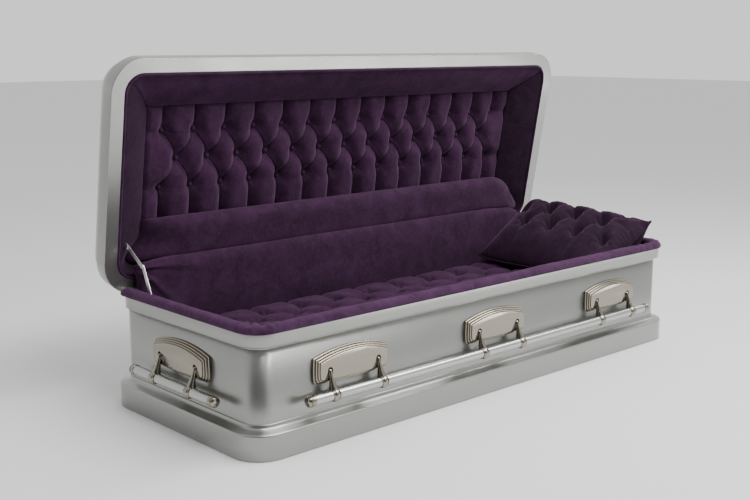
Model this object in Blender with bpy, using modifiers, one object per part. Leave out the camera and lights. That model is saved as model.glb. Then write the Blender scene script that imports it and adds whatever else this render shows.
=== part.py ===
# Full-couch metal casket with its lid open, for Blender 4.5. Lengths in metres.
# The origin is the middle of the underside. +X runs to the head end, -Y to the front, +Z up.
# The lid turns about the piano hinge along the back of the rim.

import math

import bmesh
import bpy
from mathutils import Matrix, Vector

# Sheet metal and clearances
SHEET = 0.0012
GAP = 0.0003
FIT = 0.0004

# Box
BASE_LENGTH = 2.100
BASE_WIDTH = 0.806
BASE_PROJECTION = 0.037
BASE_FACE_HEIGHT = 0.077
BASE_HEIGHT = 0.100
BASE_EDGE_ROUND = 0.005
BASE_FOOT_ROUND = 0.0015
BASE_FOOT_RETURN = 0.029
BASE_COVE_START = 0.26
SHELL_FOOT_ROUND = 0.003
WALL_CORNER = 0.062
RIM_PROJECTION = 0.019
RIM_BOTTOM = 0.334
RIM_TOP = 0.373
RIM_COVE = 0.011
RIM_RETURN = 0.009
RIM_EDGE_ROUND = 0.003

# Lid, given as it lies closed. Its laps are how far it stands past the rim of the box
LID_OPEN_ANGLE = 80.3
LID_END_LAP = 0.043
LID_FRONT_LAP = 0.011
LID_BACK_LAP = 0.0135
LID_CORNER = 0.115
LID_TIGHTEST_CORNER = 0.040
LID_FLANGE = 0.048
LID_EDGE_ROUND = 0.0025
LID_SIDE = 0.051
LID_LEDGE = 0.013
LID_DEPTH = 0.190
LID_SHOULDER = 0.210

# Piano hinge
HINGE_END_SETBACK = 0.083
HINGE_KNUCKLES = 13
HINGE_BARREL = 0.0025
HINGE_LEAF = 0.030
HINGE_LEAF_SHEET = 0.0012
HINGE_CLEARANCE = 0.0009
HINGE_RISE = 0.0005
LID_RISE = 0.0007

# Lining of the lid, whose border slopes in from the flange to the panel
BORDER_WIDTH = 0.127
BORDER_TOP_WIDTH = 0.121
BORDER_FOOT_WIDTH = 0.040
BORDER_DEPTH = 0.080
BORDER_BACK = 0.026
BORDER_GAP = 0.002
BORDER_RISE = 0.001
BORDER_LIP = 0.005
BORDER_TUCK = 0.012
BORDER_CORNER_GROWTH = 0.020
NOTCH_HALF_LENGTH = 0.030
NOTCH_SETBACK = 0.022
NOTCH_CLEARANCE = 0.012
PANEL_THICKNESS = 0.025
PANEL_TUCK = 0.030
PANEL_CLEARANCE = 0.0015
PANEL_FOOT_LAP = 0.015
PANEL_CORNER = 0.030
LID_ROLL_LOW = 0.085
LID_ROLL_HIGH = 0.225
LID_ROLL_PROUD = 0.006
LID_ROLL_BACK = 0.078
LID_ROLL_END_GAP = 0.062
LID_ROLL_CLEARANCE = 0.004
APRON_LOW = 0.048
APRON_LAP = 0.004
APRON_DROP = 0.002
APRON_THICKNESS = 0.010

# Bedding and lining of the box
LINING_THICKNESS = 0.008
LINING_CLEARANCE = 0.0008
LINING_DROP = 0.041
LINING_BOTTOM = 0.200
BACK_LINING_THICKNESS = 0.020
BACK_LINING_CLEARANCE = 0.007
BACK_LINING_DROP = 0.002
ROLL_WIDTH = 0.045
ROLL_HEIGHT = 0.027
ROLL_OVERHANG = 0.008
ROLL_END_TURN = 35
MATTRESS_GAP = 0.028
MATTRESS_EDGE_HEIGHT = 0.215
MATTRESS_TOP = 0.255
MATTRESS_BACK_CLEARANCE = 0.002
MATTRESS_CORNER = 0.050
MATTRESS_FOOT_ROUND = 0.010
MATTRESS_SHOULDER = 0.045
PILLOW_LENGTH = 0.350
PILLOW_FRONT_GAP = 0.0068
PILLOW_BACK_GAP = 0.038
PILLOW_FOOT_HEIGHT = 0.050
PILLOW_HEAD_HEIGHT = 0.212
PILLOW_CROWN = 0.048
PILLOW_CORNER = 0.035
PILLOW_SHOULDER = 0.090

# Swing handles. The drops and rises are measured from the pivots
PIVOT_HEIGHT = 0.222
PIVOT_STANDOFF = 0.0245
PLATE_WIDTH = 0.296
PLATE_DROP = 0.038
PLATE_SIDE_HEIGHT = 0.081
PLATE_ARCH = 0.022
PLATE_SAG = 0.005
PLATE_THICKNESS = 0.027
PLATE_STEP = 0.0048
PLATE_END_SETBACK = 0.353
SLOT_WIDTH = 0.019
SLOT_DROP = 0.0285
SLOT_RISE = 0.0125
ARM_SPACING = 0.195
ARM_TOP_RADIUS = 0.0058
ARM_NECK_RADIUS = 0.0062
ARM_FOOT_RADIUS = 0.0118
ARM_TIP_RADIUS = 0.0036
ARM_TIP_RISE = 0.005
ARM_SIDES = 7
BAR_DROP = 0.069
BAR_STANDOFF = 0.045
BAR_RADIUS = 0.0155
SIDE_BAR_OVERRUN = 0.177
END_BAR_OVERRUN = 0.207
COLLAR_RADIUS = 0.0208
COLLAR_WIDTH = 0.024
COLLAR_CHAMFER = 0.005
CAP_LENGTH = 0.028
CAP_RADIUS = 0.0168
CAP_BUTTON_DEPTH = 0.0045
CAP_FACE_SETBACK = 0.0065
CAP_RING_SETBACK = 0.010
CAP_CHAMFER = 0.002

# Stay at the foot end
STAY_INSET = 0.0275
STAY_SHEET = 0.003
STAY_HALF_WIDTH = 0.007
STAY_PIN = 0.003
STAY_LID_REACH = 0.150
STAY_LID_DEPTH = 0.015
STAY_FOOT_SETBACK = 0.141
STAY_FOOT_DROP = 0.001
STAY_KNUCKLE_SHARE = 0.505
STAY_BEND = 0.030
PIN_HEAD = 0.0015
BRACKET_WIDTH = 0.020
BRACKET_SHEET = 0.0025
BRACKET_DROP = 0.016
BRACKET_TOP_GAP = 0.006
BRACKET_DEPTH = 0.032

# Values worked out from those above
WALL_HALF_LENGTH = BASE_LENGTH / 2 - BASE_PROJECTION
WALL_HALF_WIDTH = BASE_WIDTH / 2 - BASE_PROJECTION
BACK_LAP = SHEET + FIT
HINGE_Y = WALL_HALF_WIDTH + BACK_LAP + HINGE_CLEARANCE + HINGE_BARREL
HINGE_Z = RIM_TOP + HINGE_BARREL + HINGE_RISE
HINGE_LENGTH = 2 * (WALL_HALF_LENGTH - HINGE_END_SETBACK)
LID_SEAT = HINGE_BARREL + LID_RISE
LID_LENGTH = 2 * (WALL_HALF_LENGTH + RIM_PROJECTION + LID_END_LAP)
LID_REACH = HINGE_Y + WALL_HALF_WIDTH + RIM_PROJECTION + LID_FRONT_LAP
MATTRESS_HALF_LENGTH = WALL_HALF_LENGTH - SHEET - MATTRESS_GAP
MATTRESS_HALF_WIDTH = WALL_HALF_WIDTH - SHEET - MATTRESS_GAP
BACK_LINING_BACK = WALL_HALF_WIDTH - RIM_RETURN - BACK_LINING_CLEARANCE
BACK_LINING_FRONT = BACK_LINING_BACK - BACK_LINING_THICKNESS
MATTRESS_BACK = BACK_LINING_FRONT - MATTRESS_BACK_CLEARANCE
LINING_TOP = RIM_TOP - LINING_DROP
STAY_FOOT_HEIGHT = RIM_TOP - STAY_FOOT_DROP
PLATE_SPACING = WALL_HALF_LENGTH - PLATE_END_SETBACK
SIDE_BAR_LENGTH = 2 * (PLATE_SPACING + SIDE_BAR_OVERRUN)
END_BAR_LENGTH = 2 * END_BAR_OVERRUN
CORNER_STEPS = 4
BAR_SIDES = 12

parts = bpy.data.collections.new("casket")
cutters = bpy.data.collections.new("cutters")


def clear_scene():
    for old in list(bpy.data.objects):
        bpy.data.objects.remove(old, do_unlink=True)
    bpy.context.scene.collection.children.link(parts)
    bpy.context.scene.collection.children.link(cutters)


def finish_material(name, colour, roughness, metallic):
    material = bpy.data.materials.new(name)
    material.use_nodes = True
    shader = material.node_tree.nodes["Principled BSDF"]
    shader.inputs["Base Color"].default_value = (*colour, 1.0)
    shader.inputs["Roughness"].default_value = roughness
    shader.inputs["Metallic"].default_value = metallic
    return material


SILVER = finish_material("silver_paint", (0.42, 0.42, 0.40), 0.38, 0.75)
NICKEL = finish_material("polished_nickel", (0.72, 0.69, 0.63), 0.16, 1.0)
BAR_SILVER = finish_material("satin_bar", (0.60, 0.60, 0.59), 0.30, 0.9)
VELVET = finish_material("purple_velvet", (0.080, 0.030, 0.095), 0.90, 0.0)
STEEL = finish_material("plain_steel", (0.50, 0.50, 0.50), 0.35, 1.0)


def make_object(name, mesh, material, parent=None, collection=parts):
    made = bpy.data.objects.new(name, mesh)
    collection.objects.link(made)
    mesh.materials.clear()
    mesh.materials.append(material)
    if parent:
        made.parent = parent
    return made


def shade(made, angle=35):
    made.data.shade_smooth()
    made.data.set_sharp_from_angle(angle=math.radians(angle))


def empty(name, place, turn=(0.0, 0.0, 0.0), parent=None):
    made = bpy.data.objects.new(name, None)
    parts.objects.link(made)
    made.location = place
    made.rotation_euler = turn
    if parent:
        made.parent = parent
    return made


def solidify(made, thickness=SHEET):
    sheet = made.modifiers.new("sheet", "SOLIDIFY")
    sheet.thickness = thickness
    sheet.offset = -1.0
    sheet.use_even_offset = True
    sheet.use_rim = True


def boolean(made, cutter, operation):
    cutter.hide_render = True
    cutter.display_type = "WIRE"
    cut = made.modifiers.new(operation.lower(), "BOOLEAN")
    cut.operation = operation
    cut.object = cutter


def rounded_rectangle(low, high, corner):
    """Points anticlockwise round a rectangle with round corners, from low (x, y) to high (x, y)."""
    centres = (
        (high[0] - corner, high[1] - corner, 0),
        (low[0] + corner, high[1] - corner, 90),
        (low[0] + corner, low[1] + corner, 180),
        (high[0] - corner, low[1] + corner, 270),
    )
    points = []
    for centre_x, centre_y, start in centres:
        for step in range(CORNER_STEPS + 1):
            angle = math.radians(start + 90 * step / CORNER_STEPS)
            points.append((centre_x + corner * math.cos(angle), centre_y + corner * math.sin(angle)))
    return points


def ring_at(low, high, corner, height):
    return [Vector((x, y, height)) for x, y in rounded_rectangle(low, high, corner)]


def wall_ring(offset, height, back_offset=None):
    """A ring round the box, offset outward from the wall's outer face."""
    back = offset if back_offset is None else back_offset
    low = (-WALL_HALF_LENGTH - offset, -WALL_HALF_WIDTH - offset)
    high = (WALL_HALF_LENGTH + offset, WALL_HALF_WIDTH + back)
    return ring_at(low, high, WALL_CORNER + offset, height)


def loft(name, rings, material, cap_first=True, cap_last=True, around=False, parent=None,
         collection=parts):
    """Skin closed rings of equally many points. around joins the last ring to the first."""
    mesh = bpy.data.meshes.new(name)
    shape = bmesh.new()
    rows = [[shape.verts.new(point) for point in ring] for ring in rings]
    pairs = list(zip(rows, rows[1:]))
    if around:
        pairs.append((rows[-1], rows[0]))
    for lower, upper in pairs:
        count = len(lower)
        for index in range(count):
            after = (index + 1) % count
            shape.faces.new((lower[index], lower[after], upper[after], upper[index]))
    if cap_first and not around:
        shape.faces.new(list(reversed(rows[0])))
    if cap_last and not around:
        shape.faces.new(rows[-1])
    if around or (cap_first and cap_last):
        bmesh.ops.recalc_face_normals(shape, faces=shape.faces)
    shape.to_mesh(mesh)
    shape.free()
    made = make_object(name, mesh, material, parent, collection)
    shade(made)
    return made


def prism(name, outline, place, low, high, material, parent=None, collection=parts):
    """Extrude a flat outline from low to high. place(u, v, w) turns outline and height into a point."""
    bottom = [Vector(place(u, v, low)) for u, v in outline]
    top = [Vector(place(u, v, high)) for u, v in outline]
    return loft(name, [bottom, top], material, parent=parent, collection=collection)


def turned(name, profile, segments, material, collection=parts):
    """Turn a profile of (radius, height) about Z with a Screw modifier."""
    mesh = bpy.data.meshes.new(name)
    edges = [(index, index + 1) for index in range(len(profile) - 1)]
    if profile[0][0] > 0:
        edges.append((len(profile) - 1, 0))
    mesh.from_pydata([(radius, 0.0, height) for radius, height in profile], edges, [])
    made = make_object(name, mesh, material, collection=collection)
    screw = made.modifiers.new("turn", "SCREW")
    screw.steps = segments
    screw.render_steps = segments
    screw.use_merge_vertices = True
    screw.merge_threshold = 0.0001
    screw.use_smooth_shade = True
    return made


def cylinder(name, radius, low, high, segments, material, collection=parts):
    """A closed cylinder along X from low to high."""
    mesh = bpy.data.meshes.new(name)
    shape = bmesh.new()
    turn = Matrix.Rotation(math.radians(90), 4, "Y")
    move = Matrix.Translation(((low + high) / 2, 0.0, 0.0))
    bmesh.ops.create_cone(shape, cap_ends=True, segments=segments, radius1=radius, radius2=radius,
                          depth=high - low, matrix=move @ turn)
    shape.to_mesh(mesh)
    shape.free()
    made = make_object(name, mesh, material, collection=collection)
    shade(made)
    return made


def evaluated_mesh(made):
    bpy.context.view_layer.update()
    graph = bpy.context.evaluated_depsgraph_get()
    return bpy.data.meshes.new_from_object(made.evaluated_get(graph))


# Box: shell, base moulding and rim moulding


def build_shell():
    rings = [wall_ring(-SHELL_FOOT_ROUND, 0.0), wall_ring(0.0, SHELL_FOOT_ROUND)]
    rings.append(wall_ring(0.0, RIM_TOP - SHEET - GAP))
    shell = loft("shell_body", rings, SILVER, cap_last=False)
    solidify(shell)


def build_base_moulding():
    reach = BASE_PROJECTION
    shoulder = BASE_HEIGHT - BASE_FACE_HEIGHT
    profile = [
        (reach - BASE_FOOT_RETURN, 0.0),
        (reach - BASE_FOOT_ROUND, 0.0),
        (reach, BASE_FOOT_ROUND),
        (reach, BASE_FACE_HEIGHT),
        (reach - BASE_EDGE_ROUND * 0.3, BASE_FACE_HEIGHT + BASE_EDGE_ROUND * 0.7),
    ]
    for share in (0.0, 0.45, 0.8, 1.0):
        rise = BASE_COVE_START + (1 - BASE_COVE_START) * share ** 2.2
        offset = BACK_LAP + (reach - BASE_EDGE_ROUND - BACK_LAP) * (1 - share)
        profile.append((offset, BASE_FACE_HEIGHT + shoulder * rise))
    moulding = loft("base_moulding", [wall_ring(offset, height) for offset, height in profile],
                    SILVER, cap_first=False, cap_last=False)
    solidify(moulding)


def build_rim_moulding():
    edge = RIM_PROJECTION - RIM_EDGE_ROUND
    profile = []
    for share in (0.0, 0.55, 1.0):
        height = RIM_BOTTOM - RIM_COVE + RIM_COVE * (1 - (1 - share) ** 2) * 0.8
        profile.append((BACK_LAP + (edge - BACK_LAP) * share ** 1.8, height))
    profile += [
        (RIM_PROJECTION, RIM_BOTTOM + RIM_EDGE_ROUND / 3),
        (RIM_PROJECTION, RIM_TOP - RIM_EDGE_ROUND),
        (edge, RIM_TOP),
        (-RIM_RETURN, RIM_TOP),
    ]
    rings = [wall_ring(offset, height, min(offset, BACK_LAP)) for offset, height in profile]
    rim = loft("rim_moulding", rings, SILVER, cap_first=False, cap_last=False)
    solidify(rim)


# Piano hinge


def knuckles(name, first, collection, turn_parent=None):
    """Every second knuckle of the barrel, as one object of separate cylinders."""
    shape = bmesh.new()
    pitch = HINGE_LENGTH / HINGE_KNUCKLES
    turn = Matrix.Rotation(math.radians(90), 4, "Y")
    for index in range(first, HINGE_KNUCKLES, 2):
        centre = -HINGE_LENGTH / 2 + pitch * (index + 0.5)
        bmesh.ops.create_cone(shape, cap_ends=True, segments=8, radius1=HINGE_BARREL,
                              radius2=HINGE_BARREL, depth=pitch - 2 * GAP,
                              matrix=Matrix.Translation((centre, 0.0, 0.0)) @ turn)
    mesh = bpy.data.meshes.new(name)
    shape.to_mesh(mesh)
    shape.free()
    made = make_object(name, mesh, STEEL, turn_parent, collection)
    return made


def leaf_outline(first):
    """The leaf seen square on: its edge on the barrel has a notch for each of the other leaf's knuckles."""
    pitch = HINGE_LENGTH / HINGE_KNUCKLES
    notch = HINGE_BARREL + 2 * GAP
    outline = [(HINGE_LENGTH / 2, HINGE_LEAF), (-HINGE_LENGTH / 2, HINGE_LEAF)]
    for index in range(HINGE_KNUCKLES):
        edge = 0.0 if index % 2 == first else notch
        inset = GAP if index % 2 == first else -GAP
        left = -HINGE_LENGTH / 2 + pitch * index
        left = left + inset if index else left
        right = -HINGE_LENGTH / 2 + pitch * (index + 1)
        right = right - inset if index < HINGE_KNUCKLES - 1 else right
        outline += [(left, edge), (right, edge)]
    return outline


def build_hinge(lid):
    body_pin = empty("hinge_axis", (0.0, HINGE_Y, HINGE_Z))
    near = -HINGE_BARREL - FIT / 2
    body_leaf = prism("hinge_leaf_body", leaf_outline(0),
                      lambda u, v, w: (u, w, -v), near, near + HINGE_LEAF_SHEET, STEEL, body_pin)
    boolean(body_leaf, knuckles("body_knuckles", 0, cutters, body_pin), "UNION")
    under = LID_SEAT - GAP
    lid_leaf = prism("hinge_leaf_lid", leaf_outline(1),
                     lambda u, v, w: (u, -v, w), under - HINGE_LEAF_SHEET, under, STEEL, lid)
    boolean(lid_leaf, knuckles("lid_knuckles", 1, cutters, lid), "UNION")


# Lid, modelled closed about the hinge axis and turned open by its empty


def lid_ring(inset, height):
    low = (-LID_LENGTH / 2 + inset, -LID_REACH + inset)
    high = (LID_LENGTH / 2 - inset, LID_BACK_LAP - inset)
    radius = max(LID_CORNER - inset, LID_TIGHTEST_CORNER)
    return ring_at(low, high, radius, height)


def build_lid_shell(lid):
    side_top = LID_SEAT + LID_SIDE
    profile = [
        (LID_FLANGE, LID_SEAT),
        (LID_EDGE_ROUND, LID_SEAT),
        (0.0, LID_SEAT + LID_EDGE_ROUND),
        (0.0, side_top - LID_EDGE_ROUND),
        (LID_EDGE_ROUND, side_top),
        (LID_LEDGE, side_top),
    ]
    for step in range(1, 6):
        angle = math.radians(90 * step / 5)
        inset = LID_LEDGE + (LID_SHOULDER - LID_LEDGE) * (1 - math.cos(angle))
        height = side_top + (LID_DEPTH - LID_SIDE) * math.sin(angle) ** 0.9
        profile.append((inset, height))
    shell = loft("lid_shell", [lid_ring(inset, height) for inset, height in profile], SILVER,
                 cap_first=False, parent=lid)
    solidify(shell)


def border_ring(outer, width_share, height):
    """A ring of the padded border, from the flange's edge (share 0) in to the panel (share 1)."""
    low = (-LID_LENGTH / 2 + outer + BORDER_WIDTH * width_share,
           -LID_REACH + outer + BORDER_TOP_WIDTH * width_share)
    high = (LID_LENGTH / 2 - outer - BORDER_WIDTH * width_share,
            LID_BACK_LAP - outer - BORDER_FOOT_WIDTH * width_share)
    return ring_at(low, high, LID_CORNER - LID_FLANGE + BORDER_CORNER_GROWTH * width_share, height)


def build_lid_lining(lid):
    edge = LID_FLANGE + BORDER_GAP
    front = LID_SEAT + BORDER_RISE
    rings = [
        border_ring(edge, 0.0, front),
        border_ring(edge, 0.5, front + BORDER_DEPTH * 0.55),
        border_ring(edge, 1.0, front + BORDER_DEPTH),
        border_ring(edge, 0.97, front + BORDER_DEPTH + BORDER_LIP),
        border_ring(edge - BORDER_TUCK, 0.0, front + BORDER_BACK),
    ]
    border = loft("lid_border", rings, VELVET, around=True, parent=lid)
    notch = prism("border_notch", [(-1, -1), (1, -1), (1, 1), (-1, 1)],
                  lambda u, v, w: (u * NOTCH_HALF_LENGTH - WALL_HALF_LENGTH + STAY_INSET - NOTCH_SETBACK,
                                   v * (BRACKET_WIDTH / 2 + NOTCH_CLEARANCE) - STAY_LID_REACH, w),
                  -BORDER_DEPTH, 2 * BORDER_DEPTH, VELVET, lid, cutters)
    boolean(border, notch, "DIFFERENCE")

    tuck = BORDER_WIDTH - PANEL_TUCK
    low = (-LID_LENGTH / 2 + edge + tuck, -LID_REACH + edge + BORDER_TOP_WIDTH - PANEL_TUCK)
    high = (LID_LENGTH / 2 - edge - tuck, -LID_ROLL_LOW - PANEL_FOOT_LAP)
    back = front + BORDER_DEPTH + BORDER_LIP + PANEL_CLEARANCE
    rings = [ring_at(low, high, PANEL_CORNER, back), ring_at(low, high, PANEL_CORNER, back + PANEL_THICKNESS)]
    loft("lid_panel", rings, VELVET, parent=lid)


def bolster_section(x, scale, back):
    """One section of the bolster roll: a rounded form between the two edges of its reach."""
    middle = -(LID_ROLL_LOW + LID_ROLL_HIGH) / 2
    half = (LID_ROLL_HIGH - LID_ROLL_LOW) / 2 * scale
    low = -LID_ROLL_PROUD * scale
    points = []
    for step in range(10):
        angle = 2 * math.pi * step / 10
        across = math.copysign(abs(math.cos(angle)) ** 0.7, math.cos(angle))
        depth = math.copysign(abs(math.sin(angle)) ** 0.7, math.sin(angle))
        points.append(Vector((x, middle + half * across, (low + back) / 2 + (back - low) / 2 * depth)))
    return points


def build_lid_roll(lid):
    end = LID_LENGTH / 2 - LID_FLANGE - LID_ROLL_END_GAP
    slope = BORDER_DEPTH / BORDER_WIDTH
    sections = []
    for inset, scale in ((0.0, 0.25), (0.015, 0.62), (0.045, 0.9), (0.085, 1.0)):
        border = (inset + LID_ROLL_END_GAP - BORDER_GAP) * slope
        back = min(LID_ROLL_BACK, border - LID_ROLL_CLEARANCE)
        sections.append((end - inset, scale, back))
    places = [(-x, scale, back) for x, scale, back in sections] + list(reversed(sections))
    rings = [bolster_section(x, scale, back) for x, scale, back in places]
    loft("lid_roll", rings, VELVET, parent=lid)


def build_lid_apron(lid):
    half = LID_LENGTH / 2 - LID_FLANGE - LID_ROLL_END_GAP
    high = -LID_ROLL_LOW + APRON_LAP
    outline = [(-half, high), (half, high), (half, -APRON_LOW), (-half, -APRON_LOW)]
    prism("lid_apron", outline, lambda u, v, w: (u, v, w), -APRON_DROP - APRON_THICKNESS, -APRON_DROP,
          VELVET, lid)


# Soft parts in the box


def u_path(end_turn):
    """Points on the wall and outward directions round the two ends and the front.

    end_turn is how many degrees the path follows each back corner.
    """
    near = WALL_HALF_LENGTH - WALL_CORNER
    across = WALL_HALF_WIDTH - WALL_CORNER
    arcs = (
        (-near, across, 180 - end_turn, 180),
        (-near, -across, 180, 270),
        (near, -across, 270, 360),
        (near, across, 0, end_turn),
    )
    path = []
    for centre_x, centre_y, start, end in arcs:
        steps = CORNER_STEPS if end > start else 0
        for step in range(steps + 1):
            angle = math.radians(start + (end - start) * step / max(steps, 1))
            out = (math.cos(angle), math.sin(angle))
            path.append(((centre_x + WALL_CORNER * out[0], centre_y + WALL_CORNER * out[1]), out))
    return path


def sweep_u(name, profile, end_turn, material):
    """Sweep a closed profile of (offset from the wall, height) round the ends and the front."""
    rings = []
    for (x, y), out in u_path(end_turn):
        rings.append([Vector((x + out[0] * offset, y + out[1] * offset, height))
                      for offset, height in profile])
    return loft(name, rings, material)


def build_box_lining():
    outer = -SHEET - LINING_CLEARANCE
    inner = outer - LINING_THICKNESS
    sweep_u("body_lining", [(inner, LINING_BOTTOM), (outer, LINING_BOTTOM), (outer, LINING_TOP),
                            (inner, LINING_TOP)], 0, VELVET)
    outer_edge = RIM_PROJECTION + ROLL_OVERHANG
    inner_edge = outer_edge - ROLL_WIDTH
    bottom = RIM_TOP + 2 * GAP
    profile = [(inner_edge, bottom), (outer_edge, bottom)]
    for step in range(1, 6):
        angle = math.radians(180 * step / 6)
        middle = (outer_edge + inner_edge) / 2
        profile.append((middle + ROLL_WIDTH / 2 * math.cos(angle),
                        bottom + ROLL_HEIGHT * math.sin(angle) ** 0.55))
    sweep_u("rim_roll", profile, ROLL_END_TURN, VELVET)

    half = WALL_HALF_LENGTH - WALL_CORNER
    top = RIM_TOP - BACK_LINING_DROP
    outline = [(-half, LINING_BOTTOM), (half, LINING_BOTTOM), (half, top), (-half, top)]
    prism("back_lining", outline, lambda u, v, w: (u, -w, v), -BACK_LINING_BACK, -BACK_LINING_FRONT, VELVET)


def mattress_ring(inset, height):
    x = MATTRESS_HALF_LENGTH - inset
    return ring_at((-x, inset - MATTRESS_HALF_WIDTH), (x, MATTRESS_BACK - inset), MATTRESS_CORNER, height)


def build_mattress():
    rings = [
        mattress_ring(MATTRESS_FOOT_ROUND, SHEET + GAP),
        mattress_ring(0.0, SHEET + GAP + MATTRESS_FOOT_ROUND),
        mattress_ring(0.0, MATTRESS_EDGE_HEIGHT),
        mattress_ring(MATTRESS_SHOULDER / 4, MATTRESS_EDGE_HEIGHT + (MATTRESS_TOP - MATTRESS_EDGE_HEIGHT) * 0.65),
        mattress_ring(MATTRESS_SHOULDER, MATTRESS_TOP),
    ]
    loft("mattress", rings, VELVET)


def build_pillow():
    head = MATTRESS_HALF_LENGTH
    foot = head - PILLOW_LENGTH
    bottom = MATTRESS_TOP + GAP
    near = PILLOW_FRONT_GAP - MATTRESS_HALF_WIDTH
    far = MATTRESS_BACK - PILLOW_BACK_GAP

    def pillow_ring(inset, lift, share):
        points = []
        for x, y in rounded_rectangle((foot + inset, near + inset), (head - inset, far - inset), PILLOW_CORNER):
            rise = PILLOW_FOOT_HEIGHT + (PILLOW_HEAD_HEIGHT - PILLOW_FOOT_HEIGHT) * (x - foot) / PILLOW_LENGTH
            points.append(Vector((x, y, bottom + rise * share + lift)))
        return points

    rings = [
        pillow_ring(PILLOW_SHOULDER / 3, 0.0, 0.0),
        pillow_ring(PILLOW_SHOULDER / 15, 0.0, 0.4),
        pillow_ring(0.0, 0.0, 1.0),
        pillow_ring(PILLOW_SHOULDER * 0.28, PILLOW_CROWN * 0.62, 1.0),
        pillow_ring(PILLOW_SHOULDER, PILLOW_CROWN, 1.0),
    ]
    loft("pillow", rings, VELVET)


# Swing handles. Each handle is modelled on a wall that faces -Y, then its empty turns it to its side


def plate_outline(inset):
    """Upright sides, an arched top and a bottom that sags a little, anticlockwise from bottom left."""
    half = PLATE_WIDTH / 2 - inset
    points = []
    for step in range(5):
        share = -1 + step / 2
        sag = PLATE_SAG * (1 - share ** 2)
        points.append((half * share, PIVOT_HEIGHT - PLATE_DROP + inset - sag))
    for step in range(6):
        share = 1 - step / 2.5
        rise = PLATE_SIDE_HEIGHT - inset + PLATE_ARCH * (1 - share ** 2)
        points.append((half * share, PIVOT_HEIGHT - PLATE_DROP + rise))
    return points


def slot_outline():
    half = SLOT_WIDTH / 2
    points = [(-half, PIVOT_HEIGHT - SLOT_DROP), (half, PIVOT_HEIGHT - SLOT_DROP)]
    for step in range(5):
        angle = math.radians(180 * step / 4)
        points.append((half * math.cos(angle), PIVOT_HEIGHT + SLOT_RISE - half + half * math.sin(angle)))
    return points


def plate_mesh():
    """One arched plate with its three steps and its two slots."""
    levels = [(0, GAP / PLATE_THICKNESS), (0, 0.38), (1, 0.38), (1, 0.64), (2, 0.64), (2, 0.84), (3, 0.84),
              (3, 1.0)]
    rings = []
    for step, share in levels:
        rings.append([Vector((u, -PLATE_THICKNESS * share, v)) for u, v in plate_outline(step * PLATE_STEP)])
    plate = loft("plate", rings, NICKEL, collection=cutters)
    for side in (-1, 1):
        slot = prism("slot", slot_outline(),
                     lambda u, v, w, side=side: (u + side * ARM_SPACING / 2, -w, v),
                     -PLATE_THICKNESS, 2 * PLATE_THICKNESS, NICKEL, collection=cutters)
        boolean(plate, slot, "DIFFERENCE")
    mesh = evaluated_mesh(plate)
    for made in list(cutters.objects):
        if made.name.startswith("slot") or made.name.startswith("plate"):
            bpy.data.objects.remove(made, do_unlink=True)
    return mesh


def arm_mesh():
    """One arm about its pivot: a neck from the pivot to the collar round the bar."""
    drop = Vector((0.0, PIVOT_STANDOFF - BAR_STANDOFF, -BAR_DROP))
    length = drop.length
    along = drop.normalized()
    across = Vector((1.0, 0.0, 0.0))
    up = along.cross(across)
    profile = [(-ARM_TIP_RISE, ARM_TIP_RADIUS), (0.0, ARM_TOP_RADIUS), (0.38 * length, ARM_NECK_RADIUS),
               (0.75 * length, ARM_FOOT_RADIUS), (0.95 * length, ARM_FOOT_RADIUS)]
    rings = []
    for travel, radius in profile:
        ring = []
        for step in range(ARM_SIDES):
            angle = 2 * math.pi * (step + 0.3) / ARM_SIDES
            ring.append(along * travel + across * radius * math.cos(angle) + up * radius * math.sin(angle))
        rings.append(ring)
    arm = loft("arm", rings, NICKEL, collection=cutters)
    half = COLLAR_WIDTH / 2
    face = half - COLLAR_CHAMFER
    inner = (BAR_RADIUS + GAP) / math.cos(math.pi / BAR_SIDES)
    section = [(inner, half), (COLLAR_RADIUS, face), (COLLAR_RADIUS, -face), (inner, -half)]
    collar = turned("collar", section, BAR_SIDES, NICKEL, cutters)
    collar.location = drop
    collar.rotation_euler = (0.0, math.radians(90), 0.0)
    bore = cylinder("bore", inner, -2 * half, 2 * half, BAR_SIDES, NICKEL, cutters)
    bore.location = drop
    boolean(arm, bore, "DIFFERENCE")
    boolean(arm, collar, "UNION")
    mesh = evaluated_mesh(arm)
    for made in (arm, collar, bore):
        bpy.data.objects.remove(made, do_unlink=True)
    return mesh


def cap_mesh():
    """A ringed end cap that plugs the bar's end, turned about the bar."""
    tip = CAP_LENGTH
    profile = [
        (0.0, tip),
        (CAP_RADIUS * 0.35, tip),
        (CAP_RADIUS * 0.55, tip - CAP_BUTTON_DEPTH),
        (CAP_RADIUS - CAP_CHAMFER, tip - CAP_FACE_SETBACK),
        (CAP_RADIUS, tip - CAP_RING_SETBACK),
        (CAP_RADIUS, GAP),
        (0.0, GAP),
    ]
    cap = turned("cap", profile, BAR_SIDES, NICKEL, cutters)
    mesh = evaluated_mesh(cap)
    bpy.data.objects.remove(cap, do_unlink=True)
    return mesh


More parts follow.
